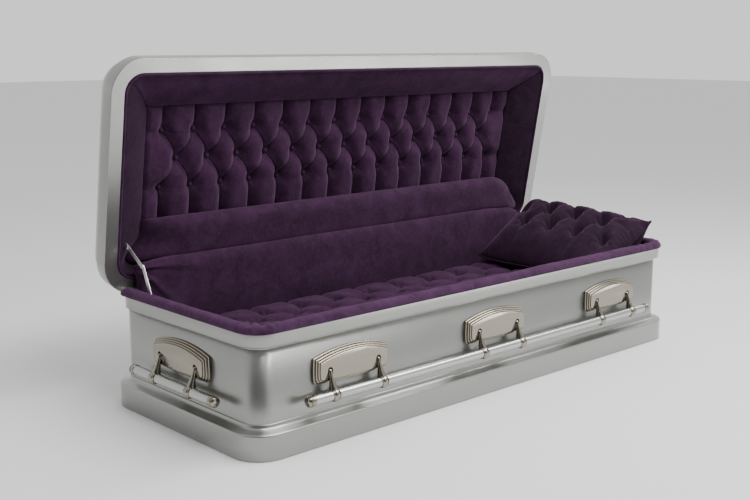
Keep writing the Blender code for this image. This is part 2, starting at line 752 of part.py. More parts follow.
def build_handle(side, wall, turn, centres, bar_length, plate, arm, cap):
    """Plates on the wall, and the arms, bar and caps on the pivot axis of one side's handle."""
    frame = empty("wall_" + side, wall, (0.0, 0.0, turn))
    axis = empty("pivot_" + side, (0.0, -PIVOT_STANDOFF, PIVOT_HEIGHT), parent=frame)
    for number, centre in enumerate(centres, 1):
        fitted = make_object(f"plate_{side}_{number}", plate, NICKEL, frame)
        fitted.location = (centre, 0.0, 0.0)
    number = 0
    for centre in centres:
        for sign in (-1, 1):
            number += 1
            fitted = make_object(f"arm_{side}_{number}", arm, NICKEL, axis)
            fitted.location = (centre + sign * ARM_SPACING / 2, 0.0, 0.0)
    bar = cylinder("bar_" + side, BAR_RADIUS, -bar_length / 2, bar_length / 2, BAR_SIDES, BAR_SILVER)
    bar.parent = axis
    bar.location = (0.0, PIVOT_STANDOFF - BAR_STANDOFF, -BAR_DROP)
    for number, sign in ((1, -1), (2, 1)):
        fitted = make_object(f"cap_{side}_{number}", cap, NICKEL, axis)
        fitted.location = (sign * bar_length / 2, bar.location.y, bar.location.z)
        fitted.rotation_euler = (0.0, math.radians(90) * sign, 0.0)


def build_handles():
    plate = plate_mesh()
    arm = arm_mesh()
    cap = cap_mesh()
    long_side = (-PLATE_SPACING, 0.0, PLATE_SPACING)
    quarter = math.radians(90)
    build_handle("front", (0.0, -WALL_HALF_WIDTH, 0.0), 0.0, long_side, SIDE_BAR_LENGTH, plate, arm, cap)
    build_handle("back", (0.0, WALL_HALF_WIDTH, 0.0), 2 * quarter, long_side, SIDE_BAR_LENGTH, plate, arm, cap)
    build_handle("foot", (-WALL_HALF_LENGTH, 0.0, 0.0), -quarter, (0.0,), END_BAR_LENGTH, plate, arm, cap)
    build_handle("head", (WALL_HALF_LENGTH, 0.0, 0.0), quarter, (0.0,), END_BAR_LENGTH, plate, arm, cap)


# Stay at the foot end


def lid_point(reach, depth):
    """Where a point of the open lid stands, in the upright plane across the casket."""
    angle = math.radians(LID_OPEN_ANGLE)
    y = HINGE_Y - reach * math.cos(angle) + depth * math.sin(angle)
    z = HINGE_Z + reach * math.sin(angle) + depth * math.cos(angle)
    return Vector((y, z))


def link_outline(start, end):
    """A flat bar with round ends about two pivots, as (y, z) points."""
    along = (end - start).normalized()
    heading = math.atan2(along.y, along.x)
    points = []
    for centre, first in ((end, -90), (start, 90)):
        for step in range(9):
            angle = heading + math.radians(first + 180 * step / 8)
            points.append((centre.x + STAY_HALF_WIDTH * math.cos(angle),
                           centre.y + STAY_HALF_WIDTH * math.sin(angle)))
    return points


def build_stay(lid):
    outer = -WALL_HALF_LENGTH + STAY_INSET - STAY_SHEET - GAP / 2
    inner = -WALL_HALF_LENGTH + STAY_INSET + GAP / 2
    foot = Vector((WALL_HALF_WIDTH - STAY_FOOT_SETBACK, STAY_FOOT_HEIGHT))
    top = lid_point(STAY_LID_REACH, STAY_LID_DEPTH)
    line = top - foot
    side = Vector((-line.y, line.x)).normalized()
    knuckle = foot + line * STAY_KNUCKLE_SHARE + side * STAY_BEND

    def pin(name, centre, low, high, radius):
        made = cylinder(name, radius, low, high, 12, STEEL, cutters)
        made.location = (0.0, centre.x, centre.y)
        return made

    upper = prism("stay_upper_link", link_outline(knuckle, top), lambda u, v, w: (w, u, v), outer,
                  outer + STAY_SHEET, NICKEL)
    lower = prism("stay_lower_link", link_outline(foot, knuckle), lambda u, v, w: (w, u, v), inner,
                  inner + STAY_SHEET, NICKEL)
    hole = STAY_PIN + GAP
    for name, centre, link in (("hole_knuckle", knuckle, upper), ("hole_foot", foot, lower)):
        boolean(link, pin(name, centre, outer - 3 * STAY_SHEET, inner + 3 * STAY_SHEET, hole), "DIFFERENCE")
    head = outer + STAY_SHEET
    inside = inner + STAY_SHEET + PIN_HEAD
    boolean(upper, pin("top_rivet", top, head - PIN_HEAD, head + PIN_HEAD, STAY_PIN * 1.5), "UNION")
    boolean(lower, pin("knuckle_pin", knuckle, outer - PIN_HEAD, inside, STAY_PIN), "UNION")

    wall = -WALL_HALF_LENGTH + SHEET + GAP
    ear = inner - GAP
    low = STAY_FOOT_HEIGHT - STAY_HALF_WIDTH - BRACKET_DROP
    high = STAY_FOOT_HEIGHT + STAY_HALF_WIDTH
    top_edge = RIM_TOP - BRACKET_TOP_GAP
    thick = BRACKET_SHEET
    profile = [(wall, low), (ear, low), (ear, high), (ear - thick, high), (ear - thick, low + thick),
               (wall + thick, low + thick), (wall + thick, top_edge), (wall, top_edge)]
    bracket = prism("stay_foot_bracket", profile, lambda u, v, w: (u, w, v),
                    foot.x - BRACKET_WIDTH / 2, foot.x + BRACKET_WIDTH / 2, STEEL)
    boolean(bracket, pin("foot_pin", foot, ear - thick / 2, inside, STAY_PIN), "UNION")

    ear = outer - GAP
    back = LID_SEAT + BRACKET_DEPTH
    far = -LID_LENGTH / 2 + SHEET + GAP
    front = STAY_LID_DEPTH - STAY_HALF_WIDTH
    profile = [(far, back), (ear - thick, back), (ear - thick, front), (ear, front), (ear, back + thick),
               (far, back + thick)]
    prism("stay_lid_bracket", profile, lambda u, v, w: (u, w, v),
          -STAY_LID_REACH - BRACKET_WIDTH / 2, -STAY_LID_REACH + BRACKET_WIDTH / 2, STEEL, lid)


def main():
    clear_scene()
    lid = empty("lid_axis", (0.0, HINGE_Y, HINGE_Z), (-math.radians(LID_OPEN_ANGLE), 0.0, 0.0))
    build_shell()
    build_base_moulding()
    build_rim_moulding()
    build_hinge(lid)
    build_lid_shell(lid)
    build_lid_lining(lid)
    build_lid_roll(lid)
    build_lid_apron(lid)
    build_box_lining()
    build_mattress()
    build_pillow()
    build_handles()
    build_stay(lid)
    bpy.context.view_layer.update()


main()
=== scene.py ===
# %% [markdown]
# # A full-couch metal casket, standing open
#
# The casket is a pressed steel box on a base moulding, with a domed lid on a piano hinge. Swing
# handles hang on all four sides, and tufted velvet fills the lid and the box. This notebook dresses
# the plain solids of the model with fine meshes and finishes. All lengths are metres. The origin is
# the middle of the underside, +X runs to the head end, and the lid hinge is along +Y.

# %% Load the fixed model
import math

import bmesh
import bpy
import numpy as np
from mathutils import Matrix, Vector, noise


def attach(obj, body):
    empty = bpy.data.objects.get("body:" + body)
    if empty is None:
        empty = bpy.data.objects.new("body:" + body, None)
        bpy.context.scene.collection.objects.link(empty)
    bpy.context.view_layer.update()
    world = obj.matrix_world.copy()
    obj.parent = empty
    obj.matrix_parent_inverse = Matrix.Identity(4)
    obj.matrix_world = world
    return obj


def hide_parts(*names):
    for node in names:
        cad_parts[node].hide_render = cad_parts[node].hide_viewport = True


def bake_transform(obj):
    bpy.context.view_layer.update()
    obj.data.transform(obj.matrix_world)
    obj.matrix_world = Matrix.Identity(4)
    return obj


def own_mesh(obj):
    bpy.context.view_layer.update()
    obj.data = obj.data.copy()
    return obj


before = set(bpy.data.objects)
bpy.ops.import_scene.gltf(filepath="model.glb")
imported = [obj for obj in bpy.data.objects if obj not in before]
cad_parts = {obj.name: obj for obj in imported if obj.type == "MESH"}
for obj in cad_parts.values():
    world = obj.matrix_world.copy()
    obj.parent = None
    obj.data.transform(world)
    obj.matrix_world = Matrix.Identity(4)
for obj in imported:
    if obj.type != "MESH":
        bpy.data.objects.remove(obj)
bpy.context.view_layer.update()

# %% [markdown]
# ## Camera
#
# The camera stands at the foot corner of the front, a little above the open lid's top edge, and
# looks slightly down. A longer lens keeps the long box from stretching. The heading is given from
# +Y towards +X, as on a compass.

# %% Camera
CAMERA_PLACE = (-2.7793, -2.7781, 1.1775)
CAMERA_HEADING = 42.703
CAMERA_PITCH = 10.687
CAMERA_LENS = 52.52

scene = bpy.context.scene
camera_data = bpy.data.cameras.new("camera")
camera_data.lens = CAMERA_LENS
camera_data.sensor_width = 36.0
camera = bpy.data.objects.new("camera", camera_data)
camera.location = CAMERA_PLACE
camera.rotation_euler = (math.radians(90 - CAMERA_PITCH), 0.0, -math.radians(CAMERA_HEADING))
scene.collection.objects.link(camera)
scene.camera = camera
print("camera", CAMERA_PLACE, "lens", CAMERA_LENS, "mm")

# %% [markdown]
# ## Sizes of the real pieces
#
# These repeat the sizes of the model, so that every new piece lies on the solid that it dresses.
# Distances on the lid are given in its own directions: `reach` runs from the hinge up the open lid
# to its far edge, and `depth` runs back from the mouth of the lid into its dome.

# %% Sizes
WALL_X, WALL_Y, WALL_CORNER = 1.013, 0.366, 0.062
BASE_OUT, BASE_FACE, BASE_TOP, BASE_EDGE = 0.037, 0.077, 0.100, 0.007
RIM_OUT, RIM_LOW, RIM_TOP, RIM_COVE = 0.019, 0.334, 0.373, 0.011
SHEET = 0.0012
LID_X, LID_REACH, LID_BACK_LAP, LID_CORNER = 1.075, 0.767, 0.0135, 0.115
LID_FLANGE, LID_SEAT, LID_SIDE, LID_DEPTH = 0.048, 0.0032, 0.051, 0.190
HINGE_Y, HINGE_Z = 0.371, 0.376
OPEN = math.radians(80.3)


def on_lid(x, reach, depth):
    """A point of the open lid, from its distance along it, up it from the hinge and back into it."""
    y = HINGE_Y - reach * math.cos(OPEN) + depth * math.sin(OPEN)
    z = HINGE_Z + reach * math.sin(OPEN) + depth * math.cos(OPEN)
    return (x, y, z)


print("far edge of the open lid at", [round(value, 3) for value in on_lid(0, LID_REACH, 0)])

# %% [markdown]
# ## Painted and plated finishes
#
# The box and lid wear a satin metallic paint. Metal flake under a thin clear coat gives soft, wide
# reflections, so the shader is mostly metallic with a middling roughness, and a light coat adds the
# crisp line on the rounded edges. Noise varies the roughness and the bump a little, as sprayed paint
# does. The fittings are warm polished nickel, and the bars are a cooler satin silver.

# %% Finish helper
def new_finish(name, colour, roughness, metallic=0.0):
    material = bpy.data.materials.new(name)
    material.use_nodes = True
    shader = material.node_tree.nodes["Principled BSDF"]
    shader.inputs["Base Color"].default_value = (*colour, 1.0)
    shader.inputs["Roughness"].default_value = roughness
    shader.inputs["Metallic"].default_value = metallic
    return material


def add_noise(material, scale, detail=3.0, roughness=0.5, distortion=0.0, stretch=(1.0, 1.0, 1.0)):
    """A noise texture in the object's own metres, stretched along an axis where asked."""
    nodes, links = material.node_tree.nodes, material.node_tree.links
    place = nodes.new("ShaderNodeTexCoord")
    mapping = nodes.new("ShaderNodeMapping")
    mapping.inputs["Scale"].default_value = stretch
    links.new(place.outputs["Object"], mapping.inputs["Vector"])
    grain = nodes.new("ShaderNodeTexNoise")
    grain.inputs["Scale"].default_value = scale
    grain.inputs["Detail"].default_value = detail
    grain.inputs["Roughness"].default_value = roughness
    grain.inputs["Distortion"].default_value = distortion
    links.new(mapping.outputs["Vector"], grain.inputs["Vector"])
    return grain.outputs["Fac"]


def spread(material, source, low, high, from_low=0.3, from_high=0.7):
    """Maps a noise value onto a range."""
    nodes, links = material.node_tree.nodes, material.node_tree.links
    step = nodes.new("ShaderNodeMapRange")
    step.inputs["From Min"].default_value = from_low
    step.inputs["From Max"].default_value = from_high
    step.inputs["To Min"].default_value = low
    step.inputs["To Max"].default_value = high
    links.new(source, step.inputs["Value"])
    return step.outputs["Result"]


def blend_colours(material, factor, first, second):
    nodes, links = material.node_tree.nodes, material.node_tree.links
    mix = nodes.new("ShaderNodeMix")
    mix.data_type = "RGBA"
    for socket, colour in ((mix.inputs[6], first), (mix.inputs[7], second)):
        if isinstance(colour, tuple):
            socket.default_value = (*colour, 1.0)
        else:
            links.new(colour, socket)
    links.new(factor, mix.inputs[0])
    return mix.outputs[2]


def add_bump(material, height, strength, distance, before=None):
    nodes, links = material.node_tree.nodes, material.node_tree.links
    bump = nodes.new("ShaderNodeBump")
    bump.inputs["Strength"].default_value = strength
    bump.inputs["Distance"].default_value = distance
    links.new(height, bump.inputs["Height"])
    if before is not None:
        links.new(before, bump.inputs["Normal"])
    return bump.outputs["Normal"]


def plug(material, **sources):
    """Links sockets of the shader by name, with _ for a space."""
    shader = material.node_tree.nodes["Principled BSDF"]
    for name, source in sources.items():
        material.node_tree.links.new(source, shader.inputs[name.replace("_", " ")])


# %% Silver paint
silver = new_finish("silver_paint", (0.31, 0.312, 0.297), 0.32, 0.85)
flake = add_noise(silver, 900, detail=2)
cloudy = add_noise(silver, 7, detail=3)
plug(silver, Roughness=spread(silver, cloudy, 0.29, 0.35))
plug(silver, Base_Color=blend_colours(silver, spread(silver, flake, 0.0, 1.0), (0.275, 0.277, 0.263),
                                      (0.345, 0.347, 0.330)))
plug(silver, Normal=add_bump(silver, add_noise(silver, 300, detail=2), 0.06, 0.0005))
silver.node_tree.nodes["Principled BSDF"].inputs["Coat Weight"].default_value = 0.50
silver.node_tree.nodes["Principled BSDF"].inputs["Coat Roughness"].default_value = 0.09
print("made", silver.name)

# %% Nickel, bar and steel
nickel = new_finish("warm_nickel", (0.305, 0.279, 0.231), 0.12, 1.0)
plug(nickel, Roughness=spread(nickel, add_noise(nickel, 60, detail=4), 0.08, 0.16))
plug(nickel, Normal=add_bump(nickel, add_noise(nickel, 45, detail=2), 0.04, 0.0006))

satin = new_finish("satin_bar", (0.46, 0.465, 0.455), 0.27, 0.95)
brushed = add_noise(satin, 300, detail=2, stretch=(0.05, 1.0, 1.0))
plug(satin, Roughness=spread(satin, brushed, 0.25, 0.31))
plug(satin, Normal=add_bump(satin, add_noise(satin, 900, detail=2), 0.03, 0.0002))

steel = new_finish("plain_steel", (0.66, 0.66, 0.65), 0.34, 0.80)
plug(steel, Roughness=spread(steel, add_noise(steel, 150, detail=3), 0.28, 0.42))
print("made", nickel.name, satin.name, steel.name)

# %% [markdown]
# ## Velvet
#
# Velvet is dark where one looks straight into the pile and lighter where the pile is seen edge on,
# which is what the shader's sheen does. The nap also lies in patches that catch the light, so two
# sizes of noise mottle the colour, and a fine one gives the pile its grain. The pile is real height,
# but far too small to model, so it is a bump.

# %% Velvet
def velvet_finish(name, dark, light, mottle=1.0):
    made = new_finish(name, light, 0.85)
    patches = add_noise(made, 13 * mottle, detail=6, roughness=0.62, distortion=0.5)
    strokes = add_noise(made, 60 * mottle, detail=4, roughness=0.6, distortion=0.8)
    grain = add_noise(made, 1300, detail=2)
    base = blend_colours(made, spread(made, patches, 0.0, 1.0, 0.33, 0.68), dark, light)
    worn = tuple(value * 1.5 for value in light)
    marked = blend_colours(made, spread(made, strokes, 0.0, 0.55, 0.46, 0.78), base, worn)
    shade = tuple(value * 0.7 for value in dark)
    plug(made, Base_Color=blend_colours(made, spread(made, grain, 0.0, 0.5, 0.35, 0.75), marked, shade))
    soft = add_bump(made, strokes, 0.22, 0.003)
    plug(made, Normal=add_bump(made, grain, 0.35, 0.0008, soft))
    shader = made.node_tree.nodes["Principled BSDF"]
    shader.inputs["Sheen Weight"].default_value = 0.20
    shader.inputs["Sheen Roughness"].default_value = 0.50
    shader.inputs["Sheen Tint"].default_value = (0.66, 0.36, 0.66, 1.0)
    shader.inputs["Specular IOR Level"].default_value = 0.10
    return made


velvet = velvet_finish("purple_velvet", (0.0215, 0.0068, 0.0215), (0.050, 0.0175, 0.051))
# A darker copy of the velvet, with less sheen, for the side strips of the lid's border: painted shade, for how dark
# these strips look in the light.
painted_shade_side_velvet = velvet_finish("painted_shade_side_velvet", (0.0105, 0.0034, 0.0105), (0.025, 0.0088, 0.0255))
# A darker copy of the velvet for the pillow and its piping: painted shade, for how dark the pillow looks in the light.
painted_shade_pillow_velvet = velvet_finish("painted_shade_pillow_velvet", (0.0105, 0.0033, 0.0105), (0.0265, 0.0092, 0.0270))
painted_shade_side_velvet.node_tree.nodes["Principled BSDF"].inputs["Sheen Weight"].default_value = 0.12
# A lighter copy of the velvet for the rim roll: painted light, for the light that falls on its top from above.
painted_light_roll_velvet = velvet_finish("painted_light_rim_velvet", (0.030, 0.0105, 0.031), (0.072, 0.0265, 0.075))
print("made", velvet.name, painted_light_roll_velvet.name)

# %% [markdown]
# ## Building meshes from rows of points
#
# Nearly every piece here is a skin over rows of points: rings round the box, sections along a roll,
# or a grid over a cushion. One helper makes the faces between neighbouring rows, and another turns
# them into a piece that rides on its body and takes its finish.

# %% Mesh helpers
def skin(rows, loop_rows=False, loop_columns=False):
    """Quads between neighbouring rows of equally many points, as (points, faces)."""
    points = [point for row in rows for point in row]
    across = len(rows[0])
    faces = []
    for row in range(len(rows) if loop_rows else len(rows) - 1):
        after = (row + 1) % len(rows)
        for column in range(across if loop_columns else across - 1):
            beside = (column + 1) % across
            faces.append((row * across + column, row * across + beside,
                          after * across + beside, after * across + column))
    return points, faces


def capped(rows):
    """A skin round closed rows, with its first and last rows filled."""
    points, faces = skin(rows, loop_columns=True)
    across = len(rows[0])
    last = across * (len(rows) - 1)
    faces.append(tuple(reversed(range(across))))
    faces.append(tuple(range(last, last + across)))
    return points, faces


def mesh_of(name, points, faces, finish, sharp=None):
    mesh = bpy.data.meshes.new(name)
    mesh.from_pydata([tuple(point) for point in points], [], faces)
    shape = bmesh.new()
    shape.from_mesh(mesh)
    bmesh.ops.recalc_face_normals(shape, faces=shape.faces)
    shape.to_mesh(mesh)
    shape.free()
    mesh.materials.append(finish)
    mesh.shade_smooth()
    if sharp is not None:
        mesh.set_sharp_from_angle(angle=math.radians(sharp))
    return mesh


def put(name, mesh, body, stands_for=(), matrix=None):
    """Links a mesh as a piece of the object on its body."""
    piece = bpy.data.objects.new(name, mesh)
    scene.collection.objects.link(piece)
    if matrix is not None:
        piece.matrix_world = matrix
    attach(piece, body)
    if stands_for:
        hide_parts(*stands_for)
    return piece


def ring(low, high, corner, height, steps):
    """Points anticlockwise round a rectangle with round corners."""
    centres = ((high[0] - corner, high[1] - corner, 0), (low[0] + corner, high[1] - corner, 90),
               (low[0] + corner, low[1] + corner, 180), (high[0] - corner, low[1] + corner, 270))
    points = []
    for x, y, start in centres:
        for step in range(steps + 1):
            angle = math.radians(start + 90 * step / steps)
            points.append((x + corner * math.cos(angle), y + corner * math.sin(angle), height))
    return points


def wall_ring(out, height, back=None, steps=14):
    """A ring round the box, a distance out from its wall, with less room at the back where asked."""
    back = out if back is None else back
    return ring((-WALL_X - out, -WALL_Y - out), (WALL_X + out, WALL_Y + back), WALL_CORNER + out, height, steps)


def thicken(piece, thickness=SHEET):
    sheet = piece.modifiers.new("sheet", "SOLIDIFY")
    sheet.thickness = thickness
    sheet.offset = -1.0
    return piece


# %% [markdown]
# ## The pressed steel box
#
# The body is one sheet, folded into a tray with round corners. The base moulding is a rolled strip:
# an upright face, a rounded nose, and a hollow slope that sweeps up into the wall. Its nose and the
# foot of the wall catch thin bright lines, so those curves get many short steps. The rim moulding is
# a plain band over a small cove.

# %% Body, base moulding and rim moulding
def base_profile():
    steps = [(0.008, 0.0), (BASE_OUT - 0.0015, 0.0), (BASE_OUT, 0.0015), (BASE_OUT, BASE_FACE - 0.003)]
    for step in range(1, 10):
        angle = math.radians(80 * step / 9)
        steps.append((BASE_OUT - BASE_EDGE * (1 - math.cos(angle)), BASE_FACE - 0.003 + BASE_EDGE * math.sin(angle)))
    foot = steps[-1]
    for step in range(1, 25):
        share = (step / 24) ** 0.6
        out = foot[0] + (0.0016 - foot[0]) * share
        rise = 0.36 * share + 0.64 * share ** 9
        steps.append((out, foot[1] + (BASE_TOP - foot[1]) * rise))
    return steps


def rim_profile():
    steps = []
    for step in range(9):
        angle = math.radians(90 * step / 8)
        steps.append((0.0016 + (RIM_OUT - 0.0036) * (1 - math.cos(angle)), RIM_LOW - RIM_COVE * (1 - math.sin(angle))))
    steps += [(RIM_OUT - 0.0006, RIM_LOW + 0.0003), (RIM_OUT, RIM_LOW + 0.0012), (RIM_OUT, RIM_TOP - 0.003)]
    for step in range(1, 6):
        angle = math.radians(90 * step / 5)
        steps.append((RIM_OUT - 0.003 * (1 - math.cos(angle)), RIM_TOP - 0.003 + 0.003 * math.sin(angle)))
    steps.append((-0.009, RIM_TOP))
    return steps


body_rings = [wall_ring(-0.003, 0.0), wall_ring(-0.0009, 0.0009), wall_ring(0.0, 0.003), wall_ring(0.0, 0.3715)]
points, faces = skin(body_rings, loop_columns=True)
faces.append(tuple(range(len(body_rings[0]))))
box = thicken(put("box_shell", mesh_of("box_shell", points, faces, silver, 40), "root", ["shell_body"]))

rows = [wall_ring(out, height) for out, height in base_profile()]
thicken(put("base_strip", mesh_of("base_strip", *skin(rows, loop_columns=True), silver, 50), "root",
            ["base_moulding"]))
rows = [wall_ring(out, height, min(out, 0.0016)) for out, height in rim_profile()]
thicken(put("rim_strip", mesh_of("rim_strip", *skin(rows, loop_columns=True), silver, 50), "root",
            ["rim_moulding"]))
print("box wall", len(body_rings[0]), "points round")

# %% [markdown]
# ## The lid
#
# The lid is a second pressing. Its mouth is a flat flange that frames the lining, then come a short
# upright side, a narrow ledge and the long swell of the dome. It is drawn closed, ring by ring from
# the flange to the crown, and each ring is stood up to the open angle by `on_lid`.

# %% Lid shell
def lid_ring(inset, depth, steps=22):
    flat = ring((-LID_X + inset, -LID_REACH + inset), (LID_X - inset, LID_BACK_LAP - inset),
                max(LID_CORNER - inset, 0.04), 0.0, steps)
    return [on_lid(x, -y, depth) for x, y, zero in flat]


side_top = LID_SEAT + LID_SIDE
lid_profile = [(LID_FLANGE, LID_SEAT + 0.006), (LID_FLANGE - 0.0005, LID_SEAT + 0.0008), (LID_FLANGE - 0.0016, LID_SEAT)]
lid_profile += [(LID_FLANGE - 0.0035, LID_SEAT), (0.0050, LID_SEAT), (0.0030, LID_SEAT)]
for step in range(7):
    angle = math.radians(90 * step / 6)
    lid_profile.append((0.0022 * (1 - math.sin(angle)), LID_SEAT + 0.0022 * (1 - math.cos(angle))))
for step in range(5):
    angle = math.radians(90 * step / 4)
    lid_profile.append((0.003 * (1 - math.cos(angle)), side_top - 0.003 + 0.003 * math.sin(angle)))
lid_profile.append((0.010, side_top + 0.0002))
for step in range(1, 21):
    angle = math.radians(90 * step / 20)
    lid_profile.append((0.013 + 0.197 * (1 - math.cos(angle)), side_top + (LID_DEPTH - LID_SIDE) * math.sin(angle) ** 0.9))
rows = [lid_ring(inset, depth) for inset, depth in lid_profile]
points, faces = skin(rows, loop_columns=True)
faces.append(tuple(range(len(points) - len(rows[0]), len(points))))
thicken(put("lid_dome", mesh_of("lid_dome", points, faces, silver, 40), "lid", ["lid_shell"]))
print("lid dome", len(faces), "faces")

# %% [markdown]
# ## Swing handles
#
# Each handle is a set of cast plates on the wall, arms that hang from a pin in a slot of the plate,
# and one bar through the collars of the arms. The plate has an arched top with three fine steps, so
# it is stacked from rings of its own outline, slotted with a Boolean and eased with a small Bevel.
# One mesh of each piece serves every side.

# %% Plate
PIVOT_HEIGHT, PIVOT_OUT = 0.222, 0.0245
BAR_DROP, BAR_OUT, BAR_RADIUS = 0.069, 0.045, 0.0155
ARM_SPACING, PLATE_WIDTH, PLATE_THICK, PLATE_STEP = 0.195, 0.296, 0.027, 0.0048


def apply_modifiers(piece):
    """The piece's mesh as its modifiers leave it."""
    bpy.context.view_layer.update()
    made = bpy.data.meshes.new_from_object(piece.evaluated_get(bpy.context.evaluated_depsgraph_get()))
    bpy.data.objects.remove(piece, do_unlink=True)
    return made


def scrap(name, mesh):
    """An object that is only there to be cut with, or to be made into a mesh."""
    made = bpy.data.objects.new(name, mesh)
    scene.collection.objects.link(made)
    return made


def cut(piece, cutter, how="DIFFERENCE"):
    step = piece.modifiers.new("cut", "BOOLEAN")
    step.operation = how
    step.object = cutter


def plate_outline(inset):
    """A sagging bottom, rounded lower corners, sides that swell a little, and an arched top."""
    half, bottom = PLATE_WIDTH / 2 - inset, PIVOT_HEIGHT - 0.038 + inset
    side_top = PIVOT_HEIGHT - 0.038 + 0.081 - inset
    turn = 0.014 - inset * 0.4
    outline = []
    for step in range(17):
        share = -1 + step / 8
        outline.append(((half - turn) * share, bottom - 0.005 * (1 - share ** 2)))
    for step in range(1, 8):
        angle = math.radians(90 * step / 8)
        outline.append((half - turn + turn * math.sin(angle), bottom + turn * (1 - math.cos(angle))))
    for step in range(6):
        share = step / 6
        outline.append((half + 0.0022 * math.sin(math.pi * share) * (1 - share), bottom + turn + (side_top - bottom - turn) * share))
    for step in range(49):
        share = 1 - step / 24
        outline.append((half * share, side_top + 0.022 * (1 - share ** 2)))
    left = [(-u, v) for u, v in reversed(outline[17:30])]
    return outline + left


def slot_outline():
    outline = [(-0.0095, PIVOT_HEIGHT - 0.0285), (0.0095, PIVOT_HEIGHT - 0.0285)]
    for step in range(13):
        angle = math.radians(180 * step / 12)
        outline.append((0.0095 * math.cos(angle), PIVOT_HEIGHT + 0.003 + 0.0095 * math.sin(angle)))
    return outline


levels = [(0, 0.01), (0, 0.33), (0.2, 0.375), (0.62, 0.385), (0.80, 0.33), (1, 0.33), (1, 0.59), (1.2, 0.635),
          (1.62, 0.645), (1.80, 0.58), (2, 0.58), (2, 0.80), (2.2, 0.845), (2.62, 0.855), (2.80, 0.79), (3, 0.79),
          (3, 0.955), (3.25, 1.0)]
rows = [[(u, -PLATE_THICK * share, v) for u, v in plate_outline(step * PLATE_STEP)] for step, share in levels]
plate = scrap("plate", mesh_of("plate", *capped(rows), nickel))
slots = []
for side in (-1, 1):
    rows = [[(u + side * ARM_SPACING / 2, y, v) for u, v in slot_outline()] for y in (0.004, -0.032)]
    slots.append(scrap("slot", mesh_of("slot", *capped(rows), nickel)))
    cut(plate, slots[-1])
ease = plate.modifiers.new("ease", "BEVEL")
ease.width = 0.0006
ease.segments = 2
ease.limit_method = "ANGLE"
ease.angle_limit = math.radians(35)
plate_mesh = apply_modifiers(plate)
for made in slots:
    bpy.data.objects.remove(made, do_unlink=True)
plate_mesh.shade_smooth()
plate_mesh.set_sharp_from_angle(angle=math.radians(35))
print("plate", len(plate_mesh.polygons), "faces")

# %% [markdown]
# The arm starts as a rounded stub in the slot, draws in to a slender neck and flares into the collar.
# Circles along a straight line, with a radius that changes, give that in a few rows. The collar is a
# turned ring with a narrow bead at each edge.

# %% Arm, bar and end cap
def tube(rows_of_radius, direction, side, sides=24):
    """Circles of the given radii at distances along a line from the origin."""
    up = direction.cross(side)
    rows = []
    for travel, radius in rows_of_radius:
        circle = []
        for step in range(sides):
            angle = 2 * math.pi * step / sides
            circle.append(direction * travel + side * radius * math.cos(angle) + up * radius * math.sin(angle))
        rows.append(circle)
    return rows


def turned(profile, sides=40):
    """A profile of (distance along X, radius) turned about X."""
    return [[(x, radius * math.cos(2 * math.pi * step / sides), radius * math.sin(2 * math.pi * step / sides))
             for step in range(sides)] for x, radius in profile]


drop = Vector((0.0, PIVOT_OUT - BAR_OUT, -BAR_DROP))
length = drop.length
neck = [(-0.0062, 0.0014), (-0.0058, 0.0032), (-0.0044, 0.0050), (-0.0018, 0.0062), (0.0010, 0.0066)]
for share, radius in ((0.14, 0.0064), (0.24, 0.0065), (0.34, 0.0071), (0.44, 0.0084), (0.54, 0.0102),
                      (0.64, 0.0122), (0.74, 0.0136), (0.90, 0.0140)):
    neck.append((share * length, radius))
arm_rows = tube(neck, drop.normalized(), Vector((1.0, 0.0, 0.0)))
arm = scrap("arm", mesh_of("arm", *capped(arm_rows), nickel))
collar = [(-0.0125, 0.0158), (-0.0125, 0.0176), (-0.0119, 0.0184), (-0.0104, 0.0184), (-0.0097, 0.0172),
          (-0.0088, 0.0174), (-0.0074, 0.0186), (-0.0050, 0.0200), (-0.0020, 0.0207), (0.0020, 0.0207),
          (0.0050, 0.0200), (0.0074, 0.0186), (0.0088, 0.0174), (0.0097, 0.0172), (0.0104, 0.0184), (0.0119, 0.0184),
          (0.0125, 0.0176), (0.0125, 0.0158)]
band = scrap("band", mesh_of("band", *skin([[tuple(Vector(p) + drop) for p in row] for row in turned(collar)],
                                           loop_rows=True, loop_columns=True), nickel))
bore_rows = [[tuple(Vector(p) + drop) for p in row] for row in turned([(-0.03, 0.0158), (0.03, 0.0158)])]
bore = scrap("bore", mesh_of("bore", *capped(bore_rows), nickel))
cut(arm, bore)
cut(arm, band, "UNION")
arm_mesh = apply_modifiers(arm)
for made in (band, bore):
    bpy.data.objects.remove(made, do_unlink=True)
arm_mesh.shade_smooth()
arm_mesh.set_sharp_from_angle(angle=math.radians(38))

cap = [(0.0003, 0.0), (0.0003, 0.0164), (0.0010, 0.0171), (0.0125, 0.0171), (0.0130, 0.0167), (0.0132, 0.0158),
       (0.0144, 0.0158), (0.0146, 0.0166), (0.0152, 0.0170), (0.0174, 0.0170), (0.0180, 0.0166), (0.0182, 0.0156),
       (0.0194, 0.0156), (0.0196, 0.0163), (0.0202, 0.0166), (0.0222, 0.0160), (0.0244, 0.0143), (0.0262, 0.0112),
       (0.0275, 0.0066), (0.0280, 0.0)]
cap_mesh = mesh_of("cap", *skin(turned(cap, 32), loop_columns=True), nickel, 42)


def bar_mesh(half):
    profile = [(-half, 0.0), (-half, 0.0148), (-half + 0.0007, BAR_RADIUS), (half - 0.0007, BAR_RADIUS),
               (half, 0.0148), (half, 0.0)]
    return mesh_of("bar", *skin(turned(profile, 48), loop_columns=True), satin, 42)


print("arm", len(arm_mesh.polygons), "faces, cap", len(cap_mesh.polygons))

# %% [markdown]
# Each side's handle is laid out on a wall that faces -Y, and one matrix turns it to its own side.

